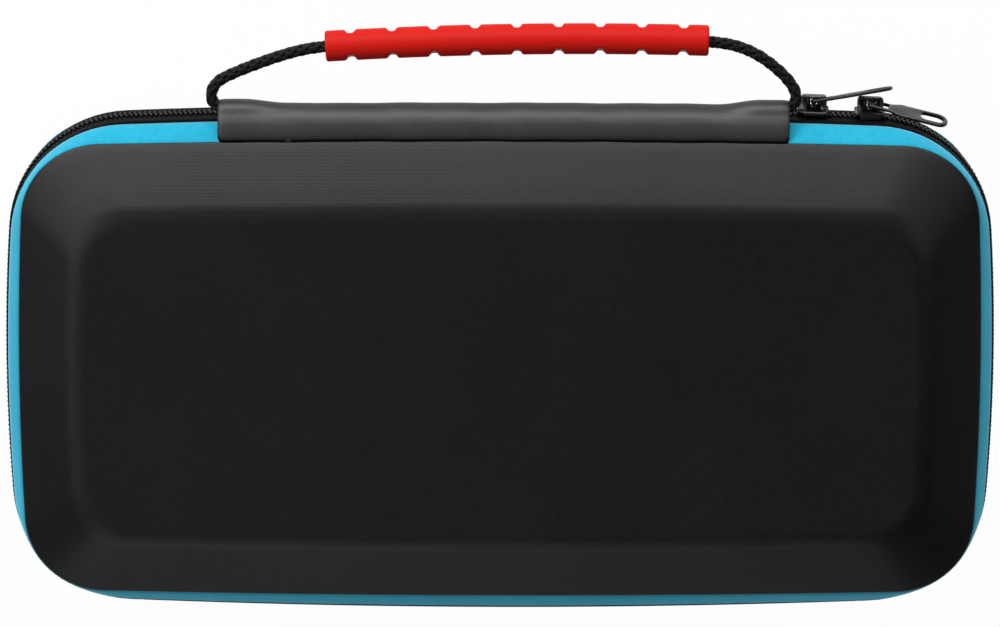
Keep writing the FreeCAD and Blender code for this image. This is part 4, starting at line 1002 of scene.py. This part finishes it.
bm = bmesh.new()
columns, lines = round(2 * POUCH_HALF / NET_CELL), round((POUCH_TOP - POUCH_BOTTOM) / NET_CELL)
bmesh.ops.create_grid(bm, x_segments=columns, y_segments=lines, size=0.5)
bmesh.ops.scale(bm, vec=(2 * POUCH_HALF, POUCH_TOP - POUCH_BOTTOM, 1.0), verts=bm.verts)
bmesh.ops.translate(bm, vec=(0, (POUCH_TOP + POUCH_BOTTOM) / 2, 0), verts=bm.verts)
for vertex in bm.verts:
    edge = min(POUCH_HALF - abs(vertex.co.x), vertex.co.y - POUCH_BOTTOM, POUCH_EASE)
    share_up = math.sin(math.pi / 2 * edge / POUCH_EASE)
    vertex.co.z = POUCH_BACK + (POUCH_FRONT - POUCH_BACK) * share_up
bmesh.ops.wireframe(bm, faces=bm.faces[:], thickness=NET_THREAD, use_replace=True, use_even_offset=True,
                    use_boundary=True, use_crease=False)
net = new_piece("mesh_pocket_net", bm, net_black)
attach(net, "lid")
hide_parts("mesh_pocket")
bm = bmesh.new()
slab(bm, (-POUCH_HALF, POUCH_TOP, HEM_LOW), (POUCH_HALF, POUCH_TOP + HEM_WIDTH, HEM_TOP), edge=HEM_ROUND)
long_edges = [edge for edge in bm.edges if abs(edge.verts[0].co.x - edge.verts[1].co.x) > POUCH_HALF]
bmesh.ops.subdivide_edges(bm, edges=long_edges, cuts=HEM_CUTS, use_grid_fill=True)
for vertex in bm.verts:
    vertex.co.z += HEM_GATHER * math.sin(vertex.co.x * HEM_GATHER_RATE)
hem = new_piece("pocket_hem_elastic", bm, elastic_black)
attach(hem, "lid")
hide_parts("pocket_hem")


# The card page is a thin foam pad in the lid, covered with tricot. It hangs on a strip of cloth sewn in along
# the hinge edge, and a short tab at the far edge lifts it.
PAGE_HALF_X = 108.0
PAGE_HALF_Y = 46.0
PAGE_CORNER = 10.0
PAGE_LOW = 30.6
PAGE_TOP = 33.0
CLOTH_LOW = 31.4
CLOTH_TOP = 32.2
CLOTH_ROUND = 0.2
PAGE_GAP = 0.15
PAGE_ROUND = 0.9
HINGE_CLOTH_HALF = 85.0
HINGE_CLOTH_EDGE = -57.0
TAB_HALF = 8.0
TAB_LENGTH = 9.0
bm = bmesh.new()
slab(bm, (-PAGE_HALF_X, -PAGE_HALF_Y, PAGE_LOW), (PAGE_HALF_X, PAGE_HALF_Y, PAGE_TOP),
     PAGE_CORNER, PAGE_ROUND)
page = new_piece("card_page_pad", bm, tricot_grey)
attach(page, "lid")
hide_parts("card_flap")

bm = bmesh.new()
slab(bm, (-HINGE_CLOTH_HALF, HINGE_CLOTH_EDGE, CLOTH_LOW),
     (HINGE_CLOTH_HALF, -PAGE_HALF_Y - PAGE_GAP, CLOTH_TOP), edge=CLOTH_ROUND)
page_hinge = new_piece("card_page_hinge", bm, tape_black)
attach(page_hinge, "lid")
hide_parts("card_flap_hinge")

bm = bmesh.new()
slab(bm, (-TAB_HALF, PAGE_HALF_Y + PAGE_GAP, CLOTH_LOW),
     (TAB_HALF, PAGE_HALF_Y + PAGE_GAP + TAB_LENGTH, CLOTH_TOP), edge=CLOTH_ROUND)
page_tab = new_piece("card_page_tab", bm, elastic_black)
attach(page_tab, "lid")
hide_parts("card_tab")


# Two rows of pockets are sewn to the page's inner side, each row one strip of cloth with four stitched lines
# that part it into five pockets for game cards.
CARD_HALF = 100.0
CARD_LOW = 29.4
CARD_TOP = 30.45
CARD_HEIGHT = 34.0
CARD_SPREAD = 4.0
CARD_POCKETS = 5
CARD_GAP = 0.15
CARD_ROUND = 0.45
CARD_STITCH_PITCH = 2.6
CARD_STITCH_MARGIN = 1.0
CARD_STITCH_SUNK = 0.2

# Card pocket cloth: thin grey nylon, smoother and a little shinier than the lining. Its threads are too fine
# to show, so they are drawn 0.9 mm apart
card_grey, card_shader = new_material("card_pocket_nylon", "#2c2c2f", 0.5, Specular_IOR_Level=0.4)
cover_thread(card_grey, card_shader, "#333337", "#242427", pitch=0.9, depth=0.05)
for name, low in (("card_pocket_upper", CARD_SPREAD), ("card_pocket_lower", -CARD_SPREAD - CARD_HEIGHT)):
    bm = bmesh.new()
    pitch = 2 * CARD_HALF / CARD_POCKETS
    for number in range(CARD_POCKETS):
        left = -CARD_HALF + pitch * number
        slab(bm, (left + CARD_GAP, low, CARD_LOW),
             (left + pitch - CARD_GAP, low + CARD_HEIGHT, CARD_TOP), edge=CARD_ROUND)
    pockets = new_piece(f"{name}_row", bm, card_grey)
    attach(pockets, "lid")
    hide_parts(name)
    bm = bmesh.new()
    for number in range(1, CARD_POCKETS):
        x = -CARD_HALF + pitch * number
        start = Vector((x, low + CARD_STITCH_MARGIN, CARD_LOW + CARD_STITCH_SUNK))
        end = Vector((x, low + CARD_HEIGHT - CARD_STITCH_MARGIN, CARD_LOW + CARD_STITCH_SUNK))
        stitch_row(bm, start, end, Vector((0, 0, -1)), CARD_STITCH_PITCH)
    seam = new_piece(f"{name}_stitches", bm, thread_black)
    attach(seam, "lid")
